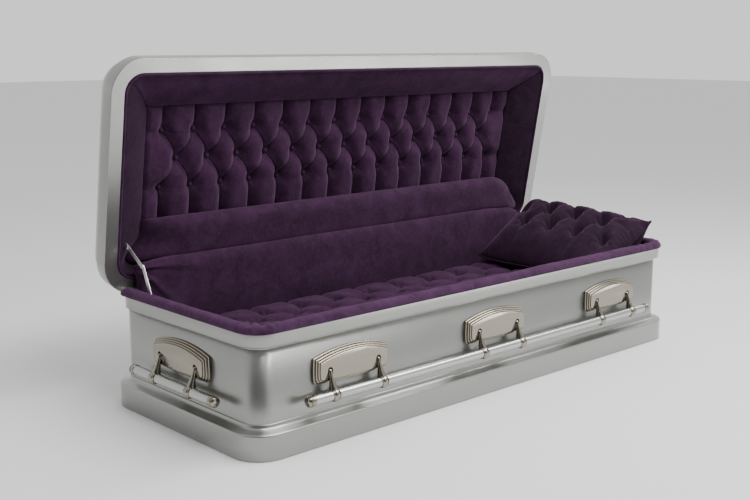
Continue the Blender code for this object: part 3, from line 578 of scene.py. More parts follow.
# %% Hang the handles
def hang_handle(side, wall, turn, centres, half_bar):
    to_wall = Matrix.Translation(wall) @ Matrix.Rotation(math.radians(turn), 4, "Z")
    to_axis = to_wall @ Matrix.Translation((0.0, -PIVOT_OUT, PIVOT_HEIGHT))
    body = "handle_" + side
    number = 0
    for index, centre in enumerate(centres, 1):
        put(f"plate_cast_{side}_{index}", plate_mesh, "root", [f"plate_{side}_{index}"],
            to_wall @ Matrix.Translation((centre, 0.0, 0.0)))
        for sign in (-1, 1):
            number += 1
            put(f"arm_cast_{side}_{number}", arm_mesh, body, [f"arm_{side}_{number}"],
                to_axis @ Matrix.Translation((centre + sign * ARM_SPACING / 2, 0.0, 0.0)))
    to_bar = to_axis @ Matrix.Translation(drop)
    put(f"bar_tube_{side}", bar_mesh(half_bar), body, [f"bar_{side}"], to_bar)
    for index, sign in ((1, -1), (2, 1)):
        flip = Matrix.Rotation(math.radians(90 - 90 * sign), 4, "Z")
        put(f"cap_turned_{side}_{index}", cap_mesh, body, [f"cap_{side}_{index}"],
            to_bar @ Matrix.Translation((sign * half_bar, 0.0, 0.0)) @ flip)


hang_handle("front", (0.0, -WALL_Y, 0.0), 0, (-0.66, 0.0, 0.66), 0.837)
hang_handle("back", (0.0, WALL_Y, 0.0), 180, (-0.66, 0.0, 0.66), 0.837)
hang_handle("foot", (-WALL_X, 0.0, 0.0), -90, (0.0,), 0.207)
hang_handle("head", (WALL_X, 0.0, 0.0), 90, (0.0,), 0.207)
print("handles hung on four sides")

# %% [markdown]
# ## Hinge and stay
#
# The hinge leaves, the two brackets and the two links of the stay already have their true shapes, so
# they keep them. They get a finish, and a Weld and a small Bevel take the hard edge off the links.

# %% Hinge and stay finishes
for name, finish in (("hinge_leaf_body", steel), ("hinge_leaf_lid", steel), ("stay_foot_bracket", steel),
                     ("stay_lid_bracket", steel), ("stay_lower_link", steel), ("stay_upper_link", steel)):
    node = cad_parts[name]
    node.data.materials.clear()
    node.data.materials.append(finish)
    if name.startswith("stay"):
        weld = node.modifiers.new("weld", "WELD")
        weld.merge_threshold = 0.00005
        ease = node.modifiers.new("ease", "BEVEL")
        ease.width = 0.0005
        ease.segments = 2
        ease.limit_method = "ANGLE"
        ease.angle_limit = math.radians(40)
print("six solids keep their shape")

# %% [markdown]
# ## Tufting
#
# In deep tufting each button pulls the cover down to the base, and the slack is folded into pleats
# from button to button. Between them the filling pushes the cover up into a puff. The height of the
# cover can be computed: it is the puff's full height far from every pleat and falls off steeply, as
# the square root of a bell curve, towards each of them. Multiplying the fall-offs of all pleats gives
# one smooth crowned puff in each cell. Pits at the buttons and tiny ripples round them finish it.

# %% Height of a tufted cover
def tuft(x, y, pleats, buttons, width, pit_radius, groove=0.0030, ripple=0.0010, folds=9):
    """Share of the full puff height at each point, the depth of the button pits, and fine creases."""
    share = np.ones_like(x)
    crease = np.zeros_like(x)
    for (x0, y0), (x1, y1), strength, slack in pleats:
        run = (x1 - x0) ** 2 + (y1 - y0) ** 2
        along = np.clip(((x - x0) * (x1 - x0) + (y - y0) * (y1 - y0)) / run, 0, 1)
        away2 = (x - x0 - along * (x1 - x0)) ** 2 + (y - y0 - along * (y1 - y0)) ** 2
        here = strength * (1 - slack * np.sin(math.pi * along) ** 2)
        share *= np.sqrt(np.maximum(1 - here * np.exp(-away2 / width ** 2), 0))
        crease = np.maximum(crease, strength * np.exp(-away2 / 0.0024 ** 2))
    pits = np.zeros_like(x)
    ripples = np.zeros_like(x)
    for number, (x0, y0) in enumerate(buttons):
        away = np.hypot(x - x0, y - y0)
        pits = np.maximum(pits, np.exp(-(away / pit_radius) ** 2))
        turn = np.arctan2(y - y0, x - x0)
        ring_of_folds = np.exp(-((away - 1.3 * pit_radius) / (0.8 * pit_radius)) ** 2)
        ripples += ring_of_folds * np.sin(folds * turn + 1.7 * number)
    return share, pits, ripple * ripples - groove * crease


def soft_noise(x, y, size, seed=0.0):
    """Smooth noise over a grid of points."""
    values = [noise.noise(Vector((a / size + seed, b / size, seed))) for a, b in zip(x.ravel(), y.ravel())]
    return np.array(values).reshape(x.shape)


def gathered_rows(low, high, heights, pleats, count, gather=4.0, reach=0.006):
    """Rows of x values at the given heights, closer together where a pleat crosses the row."""
    fine = np.linspace(low, high, 6000)
    rows = []
    for at in heights:
        density = np.ones_like(fine)
        for (x0, y0), (x1, y1), strength, slack in pleats:
            if min(y0, y1) <= at <= max(y0, y1) and y0 != y1:
                along = (at - y0) / (y1 - y0)
                weight = 1.0 if slack == 0 else 0.5 + 0.5 * math.sin(math.pi * along)
                density += gather * weight * np.exp(-((fine - x0 - along * (x1 - x0)) / reach) ** 2)
        total = np.concatenate(([0.0], np.cumsum((density[1:] + density[:-1]) / 2)))
        rows.append(np.interp(np.linspace(0, total[-1], count), total, fine))
    x = np.array(rows)
    return x, np.repeat(np.array(heights)[:, None], count, axis=1)


def covered_buttons(name, places, radius, body, finish=None):
    """Small domed buttons as one piece. Each place is a centre and an outward direction."""
    shape = bmesh.new()
    for centre, outward in places:
        turn = Vector(outward).to_track_quat("Z", "Y").to_matrix().to_4x4()
        flat = Matrix.Diagonal((1.0, 1.0, 0.55, 1.0))
        bmesh.ops.create_uvsphere(shape, u_segments=14, v_segments=8, radius=radius,
                                  matrix=Matrix.Translation(centre) @ turn @ flat)
    mesh = bpy.data.meshes.new(name)
    shape.to_mesh(mesh)
    shape.free()
    mesh.materials.append(finish or velvet)
    mesh.shade_smooth()
    return put(name, mesh, body)


print("tufting helpers ready")

# %% [markdown]
# ## Lining of the lid: the tufted panel
#
# Three rows of buttons hold the panel, fourteen in the outer rows and thirteen between them. Diagonal
# pleats make the diamonds, and straight pleats run off the outer rows to the border and the roll. The
# panel sits in the dome behind the border, and its edges duck under it.

# %% Lid panel
ROW_REACH = (0.505, 0.408, 0.310)
PITCH = 0.1262
outer_row = [(-6.5 + column) * PITCH for column in range(14)]
middle_row = [(-6 + column) * PITCH for column in range(13)]
lid_buttons = [(x, ROW_REACH[0]) for x in outer_row] + [(x, ROW_REACH[1]) for x in middle_row]
lid_buttons += [(x, ROW_REACH[2]) for x in outer_row]
lid_pleats = []
for x in outer_row:
    lid_pleats.append(((x, ROW_REACH[0]), (x, 0.660), 0.97, 0))
    lid_pleats.append(((x, ROW_REACH[2]), (x, 0.060), 0.97, 0))
for x in middle_row:
    for row in (0, 2):
        for side in (-0.5, 0.5):
            lid_pleats.append(((x, ROW_REACH[1]), (x + side * PITCH, ROW_REACH[row]), 0.97, 0.34))
for end in (-1, 1):
    for row in (0, 2):
        lid_pleats.append(((end * 6.5 * PITCH, ROW_REACH[row]), (end * 0.90, ROW_REACH[row]), 0.45, 0))

PANEL_X, PANEL_LOW, PANEL_HIGH, PANEL_BACK = 0.926, 0.102, 0.624, 0.1125
levels = [PANEL_LOW + (PANEL_HIGH - PANEL_LOW) * k / 124 for k in range(125)]
x, reach = gathered_rows(-PANEL_X, PANEL_X, levels, lid_pleats, 620)
share, pits, fine = tuft(x, reach, lid_pleats, lid_buttons, 0.024, 0.013, groove=0.0050, ripple=0.0012)
edge = np.minimum(np.minimum(PANEL_X - np.abs(x), PANEL_HIGH - reach), 1.0)
tuck = np.clip((edge - 0.010) / 0.036, 0, 1)
tuck = tuck * tuck * (3 - 2 * tuck)
uneven = 0.0016 * soft_noise(x, reach, 0.05, 3.0) + 0.0006 * soft_noise(x, reach, 0.016, 8.0)
height = (0.036 * share - 0.012 * pits + fine + uneven * share) * (0.12 + 0.88 * tuck)
front = [[on_lid(x[i, j], reach[i, j], PANEL_BACK - height[i, j]) for j in range(x.shape[1])]
         for i in range(x.shape[0])]


def closed_pad(front_rows, back_of):
    """A grid with a skirt down to a flat back, closed all round. back_of gives a point's foot."""
    points, faces = skin(front_rows)
    high, wide = len(front_rows), len(front_rows[0])
    rim = [j for j in range(wide)] + [i * wide + wide - 1 for i in range(1, high)]
    rim += [(high - 1) * wide + j for j in range(wide - 2, -1, -1)] + [i * wide for i in range(high - 2, 0, -1)]
    first = len(points)
    points = points + [back_of(points[index]) for index in rim]
    count = len(rim)
    for index in range(count):
        after = (index + 1) % count
        faces.append((rim[index], first + index, first + after, rim[after]))
    faces.append(tuple(range(first, first + count)))
    return points, faces


lid_back = Vector(on_lid(0, 0, 1)) - Vector(on_lid(0, 0, 0))


def panel_foot(point):
    deep = (Vector(point) - Vector(on_lid(0, 0, 0))).dot(lid_back)
    return tuple(Vector(point) + lid_back * (0.1155 - deep))


panel = put("lid_panel_tufted", mesh_of("lid_panel_tufted", *closed_pad(front, panel_foot), velvet), "lid",
            ["lid_panel"])
button_places = [(on_lid(bx, by, PANEL_BACK - 0.0005), -lid_back) for bx, by in lid_buttons]
covered_buttons("lid_buttons", button_places, 0.0088, "lid")
print("lid panel", len(panel.data.polygons), "faces and", len(lid_buttons), "buttons")

# %% [markdown]
# ## Lining of the lid: the padded border
#
# A smooth padded border slopes in from the flange to the panel, with piping along its outer edge. Its
# section is a shallow curve from the piping to a rounded lip, and its corners are drawn together in a
# mitred fold. A notch at the foot end leaves room for the stay's bracket.

# %% Lid border and piping
def smooth_step(value):
    value = min(1.0, max(0.0, value))
    return value * value * (3 - 2 * value)


def flare_at(x, reach_at):
    """How far the inner edge has turned outward near the hinge, 0 to 1."""
    return smooth_step((0.165 - reach_at) / 0.085) * smooth_step((abs(x) - 0.70) / 0.15)


def border_row(share, depth, count=(40, 110)):
    """A ring of the border, with the same number of points whatever its size."""
    out = 0.050
    low = (-LID_X + out + 0.127 * share, -LID_REACH + out + 0.121 * share)
    high = (LID_X - out - 0.127 * share, LID_BACK_LAP - out - 0.040 * share)
    corner = (LID_CORNER - LID_FLANGE) * max(0.0, 1 - share) ** 1.3 + 0.005
    flat = ring(low, high, min(corner, LID_CORNER - LID_FLANGE), 0.0, 16)
    row = []
    for index, (x0, y0, zero) in enumerate(flat):
        x1, y1 = flat[(index + 1) % len(flat)][:2]
        straight = (index + 1) % 17 == 0
        pieces = (count[1] if abs(x1 - x0) > abs(y1 - y0) else count[0]) if straight else 1
        for k in range(pieces):
            x, y = x0 + (x1 - x0) * k / pieces, y0 + (y1 - y0) * k / pieces
            row.append((x + math.copysign(0.055 * flare_at(x, -y) * share, x), -y, depth))
    return row


def mitre(x, reach_at):
    """How near a point lies to the fold across a far corner, 0 to 1."""
    aside = (LID_X - 0.050 - abs(x)) - (LID_REACH - 0.050 - reach_at) * 1.05
    near = math.hypot(LID_X - 0.050 - abs(x), LID_REACH - 0.050 - reach_at)
    return math.exp(-(aside / 0.0045) ** 2) * smooth_step(near / 0.05)


section = [(0.0, 0.0125), (0.004, 0.0075)]
for step in range(1, 16):
    share = 0.02 + 0.97 * step / 15
    bulge = 0.0090 * math.sin(math.pi * min(1.0, share * 0.97)) ** 0.75
    section.append((share, LID_SEAT + 0.0022 + 0.080 * share - bulge))
section += [(1.006, 0.0855), (1.012, 0.0900), (1.006, 0.0945), (0.985, 0.0970), (0.94, 0.0960), (0.60, 0.0790),
            (0.20, 0.0480), (-0.04, 0.0310)]
rows = []
for share, depth in section:
    row = []
    for x, reach_at, deep in border_row(share, depth):
        wave = 0.0018 * noise.noise(Vector((x * 8, reach_at * 8, 0.3)))
        wave += 0.0009 * noise.noise(Vector((x * 30, reach_at * 30, 5.0)))
        pucker = 0.0010 * math.sin((x + reach_at) * 260 + 3 * noise.noise(Vector((x * 12, reach_at * 12, 9.0))))
        inner = 1.0 if 0.02 < share < 0.995 and deep < 0.09 else 0.0
        lip = smooth_step((share - 0.80) / 0.2)
        row.append(on_lid(x, reach_at, deep + inner * (0.0050 * mitre(x, reach_at) + wave + pucker * lip)))
    rows.append(row)
border = scrap("border", mesh_of("border", *skin(rows, loop_rows=True, loop_columns=True), velvet))
slit = [on_lid(sx * 0.0045 - 0.9885, 0.150 + sy * 0.0115, sz) for sz in (-0.06, 0.14)
        for sx, sy in ((-1, -1), (1, -1), (1, 1), (-1, 1))]
slit_faces = [(0, 1, 2, 3), (4, 5, 6, 7), (0, 1, 5, 4), (1, 2, 6, 5), (2, 3, 7, 6), (3, 0, 4, 7)]
cutter = scrap("slit", mesh_of("slit", slit, slit_faces, velvet))
cut(border, cutter)
border_mesh = apply_modifiers(border)
bpy.data.objects.remove(cutter, do_unlink=True)
border_mesh.shade_smooth()
border_mesh.set_sharp_from_angle(angle=math.radians(75))
# The side strips of the border take the darker copy of the velvet, which is painted shade.
border_mesh.materials.append(painted_shade_side_velvet)
for face in border_mesh.polygons:
    x, y, z = face.center
    reach_at = (z - HINGE_Z) * math.sin(OPEN) - (y - HINGE_Y) * math.cos(OPEN)
    if (LID_X - 0.050 - abs(x)) < (LID_REACH - 0.050 - reach_at) * 1.05:
        face.material_index = 1
border = put("lid_border_pad", border_mesh, "lid", ["lid_border"])

PIPE = 0.0046
pipe_rows = []
line = border_row(0.018, 0.0)
for index, (x, reach_at, zero) in enumerate(line):
    before, after = Vector(line[index - 1][:2]), Vector(line[(index + 1) % len(line)][:2])
    heading = (after - before).normalized()
    turns = [2 * math.pi * k / 12 for k in range(12)]
    pipe_rows.append([on_lid(x - heading.y * PIPE * math.cos(a), reach_at + heading.x * PIPE * math.cos(a),
                             0.0050 + PIPE * math.sin(a)) for a in turns])
piping = put("lid_piping", mesh_of("lid_piping", *skin(pipe_rows, loop_rows=True, loop_columns=True), velvet),
             "lid")
print("border", len(border_mesh.polygons), "faces, piping", len(pipe_rows), "sections")

# %% [markdown]
# ## Lining of the lid: the roll
#
# Below the panel lies a long padded roll, which closes the gap to the hinge. It is a row of rounded
# sections. Towards its ends the sections shrink and run up under the border, where the cover is
# gathered, and fine creases fan out from there.

# %% Lid roll
ROLL_LEFT, ROLL_RIGHT = -0.905, 0.960


def fan(x, up, centre_x, centre_up, count, seed, fade):
    """Folds that fan out from a gathered point, from 0 to 1."""
    away = math.hypot(x - centre_x, up - centre_up)
    turn = math.atan2(up - centre_up, abs(centre_x - x) + 0.004)
    wave = 0.5 + 0.5 * math.sin(count * turn + seed + 1.2 * noise.noise(Vector((turn * 2, seed, away * 4))))
    return wave ** 5 * math.exp(-away / fade) * smooth_step(away / 0.03)


def roll_section(x, points=40):
    end = min(1.0, max(0.0, (-0.730 - x) / 0.175 if x < 0 else (x - 0.800) / 0.160))
    turned_in = 1 - math.sqrt(max(0.0, 1 - end ** 2.2))
    front_depth = -0.006 + (0.094 if x < 0 else 0.060) * turned_in
    back = max(0.078, front_depth + 0.016)
    low = 0.0795 - 0.016 * (1 - smooth_step((0.960 - abs(x)) / (0.16 if x < 0 else 0.24)))
    fall = min(1.0, max(0.0, (x - 0.810) / 0.150))
    high = 0.225 - 0.012 * turned_in - 0.120 * (1 - math.sqrt(1 - fall * fall))
    row = []
    for step in range(points):
        angle = 2 * math.pi * step / points
        across = math.copysign(abs(math.cos(angle)) ** 0.60, math.cos(angle))
        depth = math.copysign(abs(math.sin(angle)) ** 0.85, math.sin(angle))
        up = (low + high) / 2 + (high - low) / 2 * across
        deep = (front_depth + back) / 2 + (back - front_depth) / 2 * depth
        if depth < 0.3:
            wave = 0.0034 * noise.noise(Vector((x * 4, up * 12, 2.0)))
            wave += 0.0013 * noise.noise(Vector((x * 15, up * 36, 7.0)))
            gather = fan(x, up, math.copysign(0.93, x), 0.105, 9, 1.0, 0.12)
            deep += (wave - 0.0070 * gather) * (1 - 0.6 * turned_in)
            deep -= 0.009 * (1 - smooth_step((up - low - 0.010) / 0.060)) * (1 - turned_in)
        row.append(on_lid(x + math.copysign(0.050 * flare_at(x, up), x), up, deep))
    return row


places = [ROLL_LEFT + 0.175 * (step / 28) ** 1.7 for step in range(29)]
places += [-0.730 + 1.530 * k / 100 for k in range(1, 100)]
places += [ROLL_RIGHT - 0.160 * (step / 28) ** 1.7 for step in reversed(range(29))]
rows = [roll_section(x) for x in places]
roll = put("lid_roll_pad", mesh_of("lid_roll_pad", *capped(rows), velvet), "lid", ["lid_roll"])
print("roll", len(roll.data.polygons), "faces")

# %% [markdown]
# ## The apron across the hinge
#
# One padded cloth falls from the roll on the lid, across the hinge, to the back of the mattress. It
# is made as a single piece. Its top is a soft roll of its own, and at each end it is gathered to the
# same point as the lid roll.

# %% Apron
apron_line = [(0.3395, 0.203), (0.3330, 0.225), (0.3265, 0.262), (0.3215, 0.300), (0.3195, 0.335), (0.3200, 0.365),
              (0.3205, 0.395), (0.3215, 0.422), (0.3250, 0.4470), (0.3320, 0.4640), (0.3430, 0.4735), (0.3570, 0.4750)]
apron_back = [(0.3620, 0.4640), (0.3540, 0.4400), (0.3470, 0.4200), (0.3445, 0.3950), (0.3440, 0.3650),
              (0.3440, 0.3200), (0.3465, 0.2600), (0.3465, 0.2050)]


def smooth_line(points, count):
    """Evenly many points on a smooth line through the given ones."""
    made = []
    for k in range(count):
        place = k / (count - 1) * (len(points) - 1)
        index = min(int(place), len(points) - 2)
        t = place - index
        near = [points[max(0, min(len(points) - 1, index + o))] for o in (-1, 0, 1, 2)]
        made.append(tuple(0.5 * (2 * b + (c - a) * t + (2 * a - 5 * b + 4 * c - d) * t * t
                                 + (3 * b - a - 3 * c + d) * t ** 3) for a, b, c, d in zip(*near)))
    return made


APRON_END = 0.966
apron_front = smooth_line(apron_line, 60)
apron_rear = smooth_line(apron_back, 22)
rows = []
for k in range(281):
    x = -APRON_END + 2 * APRON_END * k / 280
    end = min(1.0, (APRON_END - abs(x)) / (0.055 if x < 0 else 0.085))
    ease_in = math.sqrt(max(0.0, end * (2 - end)))
    droop = 1 - smooth_step((APRON_END - abs(x)) / (0.15 if x < 0 else 0.22))
    most_sink, folds = (0.010, 0.0140) if x < 0 else (0.012, 0.0050)
    corner = min(1.0, max(0.0, (x - 0.900) / 0.066))
    sink_here = most_sink * droop + 0.034 * (1 - math.sqrt(1 - corner * corner))
    row = []
    for y, z in apron_front:
        wave = 0.0040 * noise.noise(Vector((x * 3.5, z * 7, 1.0))) + 0.0016 * noise.noise(Vector((x * 14, z * 8, 4.0)))
        gather = fan(x, z, math.copysign(0.975, x), 0.462, 9, 2.2, 0.170)
        gather += 0.4 * fan(x, z, math.copysign(0.975, x), 0.455, 19, 0.5, 0.060)
        sink = sink_here * max(0.0, (z - 0.40) / 0.075)
        row.append((x, 0.3425 + (y - 0.3425) * (0.15 + 0.85 * ease_in) + (wave - folds * gather) * ease_in, z - sink))
    row += [(x, max(y, 0.3428), z - sink_here * max(0.0, (z - 0.40) / 0.075)) for y, z in apron_rear]
    rows.append(row)
apron = scrap("apron_pad", mesh_of("apron_pad", *capped(rows), velvet))
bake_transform(apron)
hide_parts("lid_apron", "back_lining")
print("apron", len(apron.data.polygons), "faces")

# %% [markdown]
# ## The rim roll
#
# A velvet roll covers the rim along the front and both ends, and hangs over its outer edge. It is a
# section swept along the rim. The cover puckers in three small gathers on the inner side of each front
# corner, a butt seam crosses it at the middle of the front, and its ends are drawn in.

# %% Rim roll
def rim_path(end_turn, steps, straight):
    """Points on the wall with their outward directions, round both ends and the front."""
    near, across = WALL_X - WALL_CORNER, WALL_Y - WALL_CORNER
    arcs = ((-near, across, 180 - end_turn, 180, round(steps * end_turn / 90)), (-near, -across, 180, 270, steps),
            (near, -across, 270, 360, steps), (near, across, 0, end_turn, round(steps * end_turn / 90)))
    corners = []
    for cx, cy, begin, finish, count in arcs:
        for step in range(count + 1):
            angle = math.radians(begin + (finish - begin) * step / max(count, 1))
            corners.append((cx + WALL_CORNER * math.cos(angle), cy + WALL_CORNER * math.sin(angle), math.cos(angle),
                            math.sin(angle)))
    path = []
    for here, after in zip(corners, corners[1:]):
        gap = math.dist(here[:2], after[:2])
        pieces = max(1, round(gap / straight)) if gap > 0.05 else 1
        for k in range(pieces):
            t = k / pieces
            path.append(tuple(a + (b - a) * t for a, b in zip(here, after)))
    path.append(corners[-1])
    return path


ROLL_OUT, ROLL_WIDTH, ROLL_BOTTOM, ROLL_HEIGHT = 0.027, 0.045, 0.3738, 0.0268
roll_path = rim_path(35, 26, 0.008)
SECTION_POINTS = 26


def roll_wrinkles(x, y, outward, across, rise):
    """How far the cover moves out of its plain section there. across is 0 inside and 1 outside."""
    move = 0.0018 * noise.noise(Vector((x * 7, y * 7, 3.0 + across))) + 0.0010 * noise.noise(Vector((x * 24, y * 24, across * 3)))
    for corner_x, corner_y in ((-WALL_X + WALL_CORNER, -WALL_Y + WALL_CORNER), (WALL_X - WALL_CORNER, -WALL_Y + WALL_CORNER)):
        turn = math.degrees(math.atan2(y - corner_y, abs(x) - abs(corner_x)))
        if abs(x) > abs(corner_x) and y < corner_y:
            mid = (turn + 45) / 45
            puffs = math.cos(math.radians(turn + 45) * 11)
            move += 0.0042 * puffs * max(0.0, 1 - mid * mid) * (1 - across) ** 1.2
            move += 0.0010 * math.sin(math.radians(turn) * 17) * max(0.0, 1 - mid * mid)
    seam = x + 0.125 + 0.012 * (across - 0.5) + 0.004 * math.sin(across * 6)
    if y < -0.3:
        move -= 0.0075 * math.exp(-(seam / 0.0035) ** 2)
        if seam < 0:
            move += 0.0022 * math.exp(-(seam / 0.03) ** 2)
        move -= 0.0025 * math.exp(-((x - 0.150 - 0.02 * across) / 0.006) ** 2) * across
    for place, amount in ((0.862, 0.004), (0.905, 0.0035), (0.955, 0.004), (-0.90, 0.002)):
        if y < -0.3:
            move -= amount * math.exp(-((x - place + 0.03 * across) / 0.007) ** 2)
    if abs(x) > 0.9 and y > 0.2:
        move += 0.0011 * math.sin(y * 95 + 6 * across) * min(1.0, (y - 0.2) / 0.08)
    return move


rows = []
total = len(roll_path)
for index, (px, py, ox, oy) in enumerate(roll_path):
    to_end = min(index, total - 1 - index)
    draw_in = min(1.0, 0.45 + 0.55 * math.sqrt(min(1.0, to_end / 7)))
    row = []
    for step in range(SECTION_POINTS):
        angle = 2 * math.pi * step / SECTION_POINTS
        side = math.cos(angle)
        up = math.sin(angle)
        across = 0.5 + 0.5 * side
        if up >= 0:
            rise = up ** 0.62
        else:
            rise = -0.06 * abs(up) ** 0.5
        width = math.copysign(abs(side) ** 0.78, side)
        out = ROLL_OUT - ROLL_WIDTH / 2 + ROLL_WIDTH / 2 * width * (0.7 + 0.3 * draw_in)
        lean = 0.0025 * across if up > 0 else 0.0
        move = roll_wrinkles(px, py, (ox, oy), across, rise) if up >= -0.01 else 0.0
        high = ROLL_BOTTOM + 0.0016 + (ROLL_HEIGHT - 0.003) * rise * draw_in - lean + move * max(up, 0.0) ** 0.5
        out += 0.6 * move * side * (1 if up >= 0 else 0)
        row.append((px + ox * out, py + oy * out, max(high, ROLL_BOTTOM)))
    rows.append(row)
# The rim roll takes the lighter copy of the velvet, which is painted light.
rim_roll = put("rim_roll_pad", mesh_of("rim_roll_pad", *capped(rows), painted_light_roll_velvet), "root", ["rim_roll"])
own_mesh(rim_roll)
print("rim roll", len(rim_roll.data.polygons), "faces")

# %% [markdown]
# ## Lining of the walls
#
# Below the roll the walls are lined with plain padded velvet that hangs in slight folds down behind
# the mattress. It runs on round both back corners, behind the ends of the apron, and it is cut low at
# the stay's foot bracket.

# %% Wall lining
rows = []
for px, py, ox, oy in rim_path(75, 12, 0.02):
    run = px * 40 + py * 40
    bracket = px < -1.0 and abs(py - 0.225) < 0.035
    top = 0.335 if bracket else 0.3705
    row = []
    for k in range(15):
        t = k / 14
        z = 0.203 + (top - 0.203) * t
        puff = math.sin(math.pi * min(1.0, t * 1.02)) ** 0.5
        fold = 0.0016 * math.sin(run * 2.2 + 2 * noise.noise(Vector((px * 3, py * 3, z * 5)))) * puff
        inward = -0.0125 - 0.0055 * puff - fold
        row.append((px + ox * inward, py + oy * inward, z))
    for z in (top, 0.330, 0.270, 0.203):
        row.append((px + ox * -0.0100 if z > 0.34 else px + ox * -0.0035, py + oy * -0.0100 if z > 0.34 else py + oy * -0.0035,
                    min(z, top)))
    rows.append(row)
lining = put("wall_lining_pad", mesh_of("wall_lining_pad", *capped(rows), velvet), "root", ["body_lining"])
print("wall lining", len(lining.data.polygons), "faces")

# %% [markdown]
# ## Mattress
#
# The mattress is tufted as well, with larger puffs than the lid. Pleats run in from its long edges to
# the first row of buttons, and diamonds fill the rest. Its shoulders round down to upright sides.

# %% Mattress
BED_X, BED_NEAR, BED_FAR, BED_EDGE = 0.9838, -0.3368, 0.328, 0.0
BED_PITCH, BED_FIRST, BED_ROW = 0.1642, -0.866, 0.0732
bed_rows = [0.215 - BED_ROW * k for k in range(7)]
bed_buttons, bed_pleats = [], []
for number, y in enumerate(bed_rows):
    shift = 0.0 if number % 2 == 0 else BED_PITCH / 2
    columns = [BED_FIRST + shift + BED_PITCH * k for k in range(-1, 12)]
    bed_buttons += [(bx, y) for bx in columns if abs(bx) < 0.965]
    if number + 1 < len(bed_rows):
        for bx in columns:
            for side in (-0.5, 0.5):
                bed_pleats.append(((bx, y), (bx + side * BED_PITCH, bed_rows[number + 1]), 0.90, 0.30))
for k in range(12):
    bx = BED_FIRST + BED_PITCH * k
    bed_pleats.append(((bx, bed_rows[0]), (bx - 0.014, BED_FAR + 0.03), 0.92, 0))
    bed_pleats.append(((bx, bed_rows[-1]), (bx - 0.014, BED_NEAR - 0.03), 0.92, 0))


def round_corner(x, y, low, high, radius):
    """Pulls the square corners of a grid in to round ones."""
    cx, cy = (low[0] + high[0]) / 2, (low[1] + high[1]) / 2
    hx, hy = (high[0] - low[0]) / 2, (high[1] - low[1]) / 2
    dx = np.maximum(np.abs(x - cx) - (hx - radius), 0) / radius
    dy = np.maximum(np.abs(y - cy) - (hy - radius), 0) / radius
    new_x = np.minimum(np.abs(x - cx), hx - radius) + radius * dx * np.sqrt(1 - dy * dy / 2)
    new_y = np.minimum(np.abs(y - cy), hy - radius) + radius * dy * np.sqrt(1 - dx * dx / 2)
    return cx + np.sign(x - cx) * new_x, cy + np.sign(y - cy) * new_y


levels = [BED_NEAR + (BED_FAR - BED_NEAR) * k / 110 for k in range(111)]
x, y = gathered_rows(-BED_X, BED_X, levels, bed_pleats, 460, gather=3.0)
share, pits, fine = tuft(x, y, bed_pleats, bed_buttons, 0.022, 0.020, groove=0.0026, ripple=0.0022, folds=8)
edge = np.minimum(BED_X - np.abs(x), np.minimum(y - BED_NEAR, BED_FAR - y))
shoulder = np.sqrt(np.clip(1 - (1 - np.clip(edge / 0.045, 0, 1)) ** 2, 0, 1))
uneven = 0.0022 * soft_noise(x, y, 0.07, 1.0) + 0.0008 * soft_noise(x, y, 0.02, 6.0)
height = 0.210 + (0.032 + 0.017 * share - 0.013 * pits + fine + uneven) * shoulder
flat_x, flat_y = round_corner(x, y, (-BED_X, BED_NEAR), (BED_X, BED_FAR), 0.05)
top_rows = [[(flat_x[i, j], flat_y[i, j], height[i, j]) for j in range(x.shape[1])] for i in range(x.shape[0])]
bed = put("mattress_tufted", mesh_of("mattress_tufted", *closed_pad(top_rows, lambda p: (p[0], p[1], 0.002)), velvet),
          "root", ["mattress"])
covered_buttons("mattress_buttons", [((bx, by, 0.2300), (0, 0, 1)) for bx, by in bed_buttons if abs(bx) < 0.94],
                0.0095, "root")
print("mattress", len(bed.data.polygons), "faces and", len(bed_buttons), "buttons")

# %% [markdown]
# ## Pillow
#
# The pillow is a wedge with a tufted top: low at its foot edge and high at the head. Its sides pull
# in between four pointed corners, as they do on any two-panel cushion, because the filling shortens
# the cloth along the middle of each side. A seam with piping runs round it.

# %% Pillow
PIL_FOOT, PIL_HEAD, PIL_NEAR, PIL_FAR = 0.652, 0.990, -0.334, 0.290
odd_places, even_places = (0.159, 0.025, -0.109, -0.243), (0.226, 0.092, -0.042, -0.178)
pillow_rows = ((0.796, odd_places), (0.882, even_places), (0.952, odd_places))
pillow_buttons = [(bx, by) for bx, places in pillow_rows for by in places]
pillow_pleats = []
for bx, by in pillow_buttons:
    for other_x, other_y in pillow_buttons:
        if other_x > bx + 0.01 and abs(other_x - bx) < 0.115 and abs(other_y - by) < 0.09:
            pillow_pleats.append(((bx, by), (other_x, other_y), 0.74, 0.30))
    if bx < 0.85:
        pillow_pleats.append(((bx, by), (bx - 0.12, by - 0.016), 0.50, 0))
    if bx > 0.93:
        for side in (-0.067, 0.067):
            pillow_pleats.append(((bx, by), (bx + 0.075, by + side), 0.20, 0))
for by in (0.226, -0.178):
    pillow_pleats.append(((0.892, by), (0.892, by + math.copysign(0.12, by)), 0.35, 0))

steps = np.linspace(-1.0, 1.0, 181)
u, v = np.meshgrid(np.sign(steps) * np.abs(steps) ** 0.90, np.sign(steps) * np.abs(steps) ** 0.95)
centre_x, centre_y = (PIL_FOOT + PIL_HEAD) / 2, (PIL_NEAR + PIL_FAR) / 2
half_x, half_y = (PIL_HEAD - PIL_FOOT) / 2, (PIL_FAR - PIL_NEAR) / 2
plan_x = centre_x + half_x * u * (1 - 0.075 * (1 - np.abs(v) ** 3.0))
plan_y = centre_y + half_y * v * (1 - 0.050 * (1 - np.abs(u) ** 3.0))
lens = ((1 - np.abs(u) ** np.where(u > 0, 5.5, 3.4)) * (1 - np.abs(v) ** np.where(v > 0, 6.5, 3.6))) ** 0.50
share, pits, fine = tuft(plan_x, plan_y, pillow_pleats, pillow_buttons, 0.0195, 0.020, groove=0.0060, ripple=0.0026, folds=7)
along = np.clip((plan_x - PIL_FOOT) / (PIL_HEAD - PIL_FOOT), 0, 1)
corner = np.abs(u) ** 5 * np.abs(v) ** 5
seam = 0.2700 + 0.180 * along + 0.024 * corner
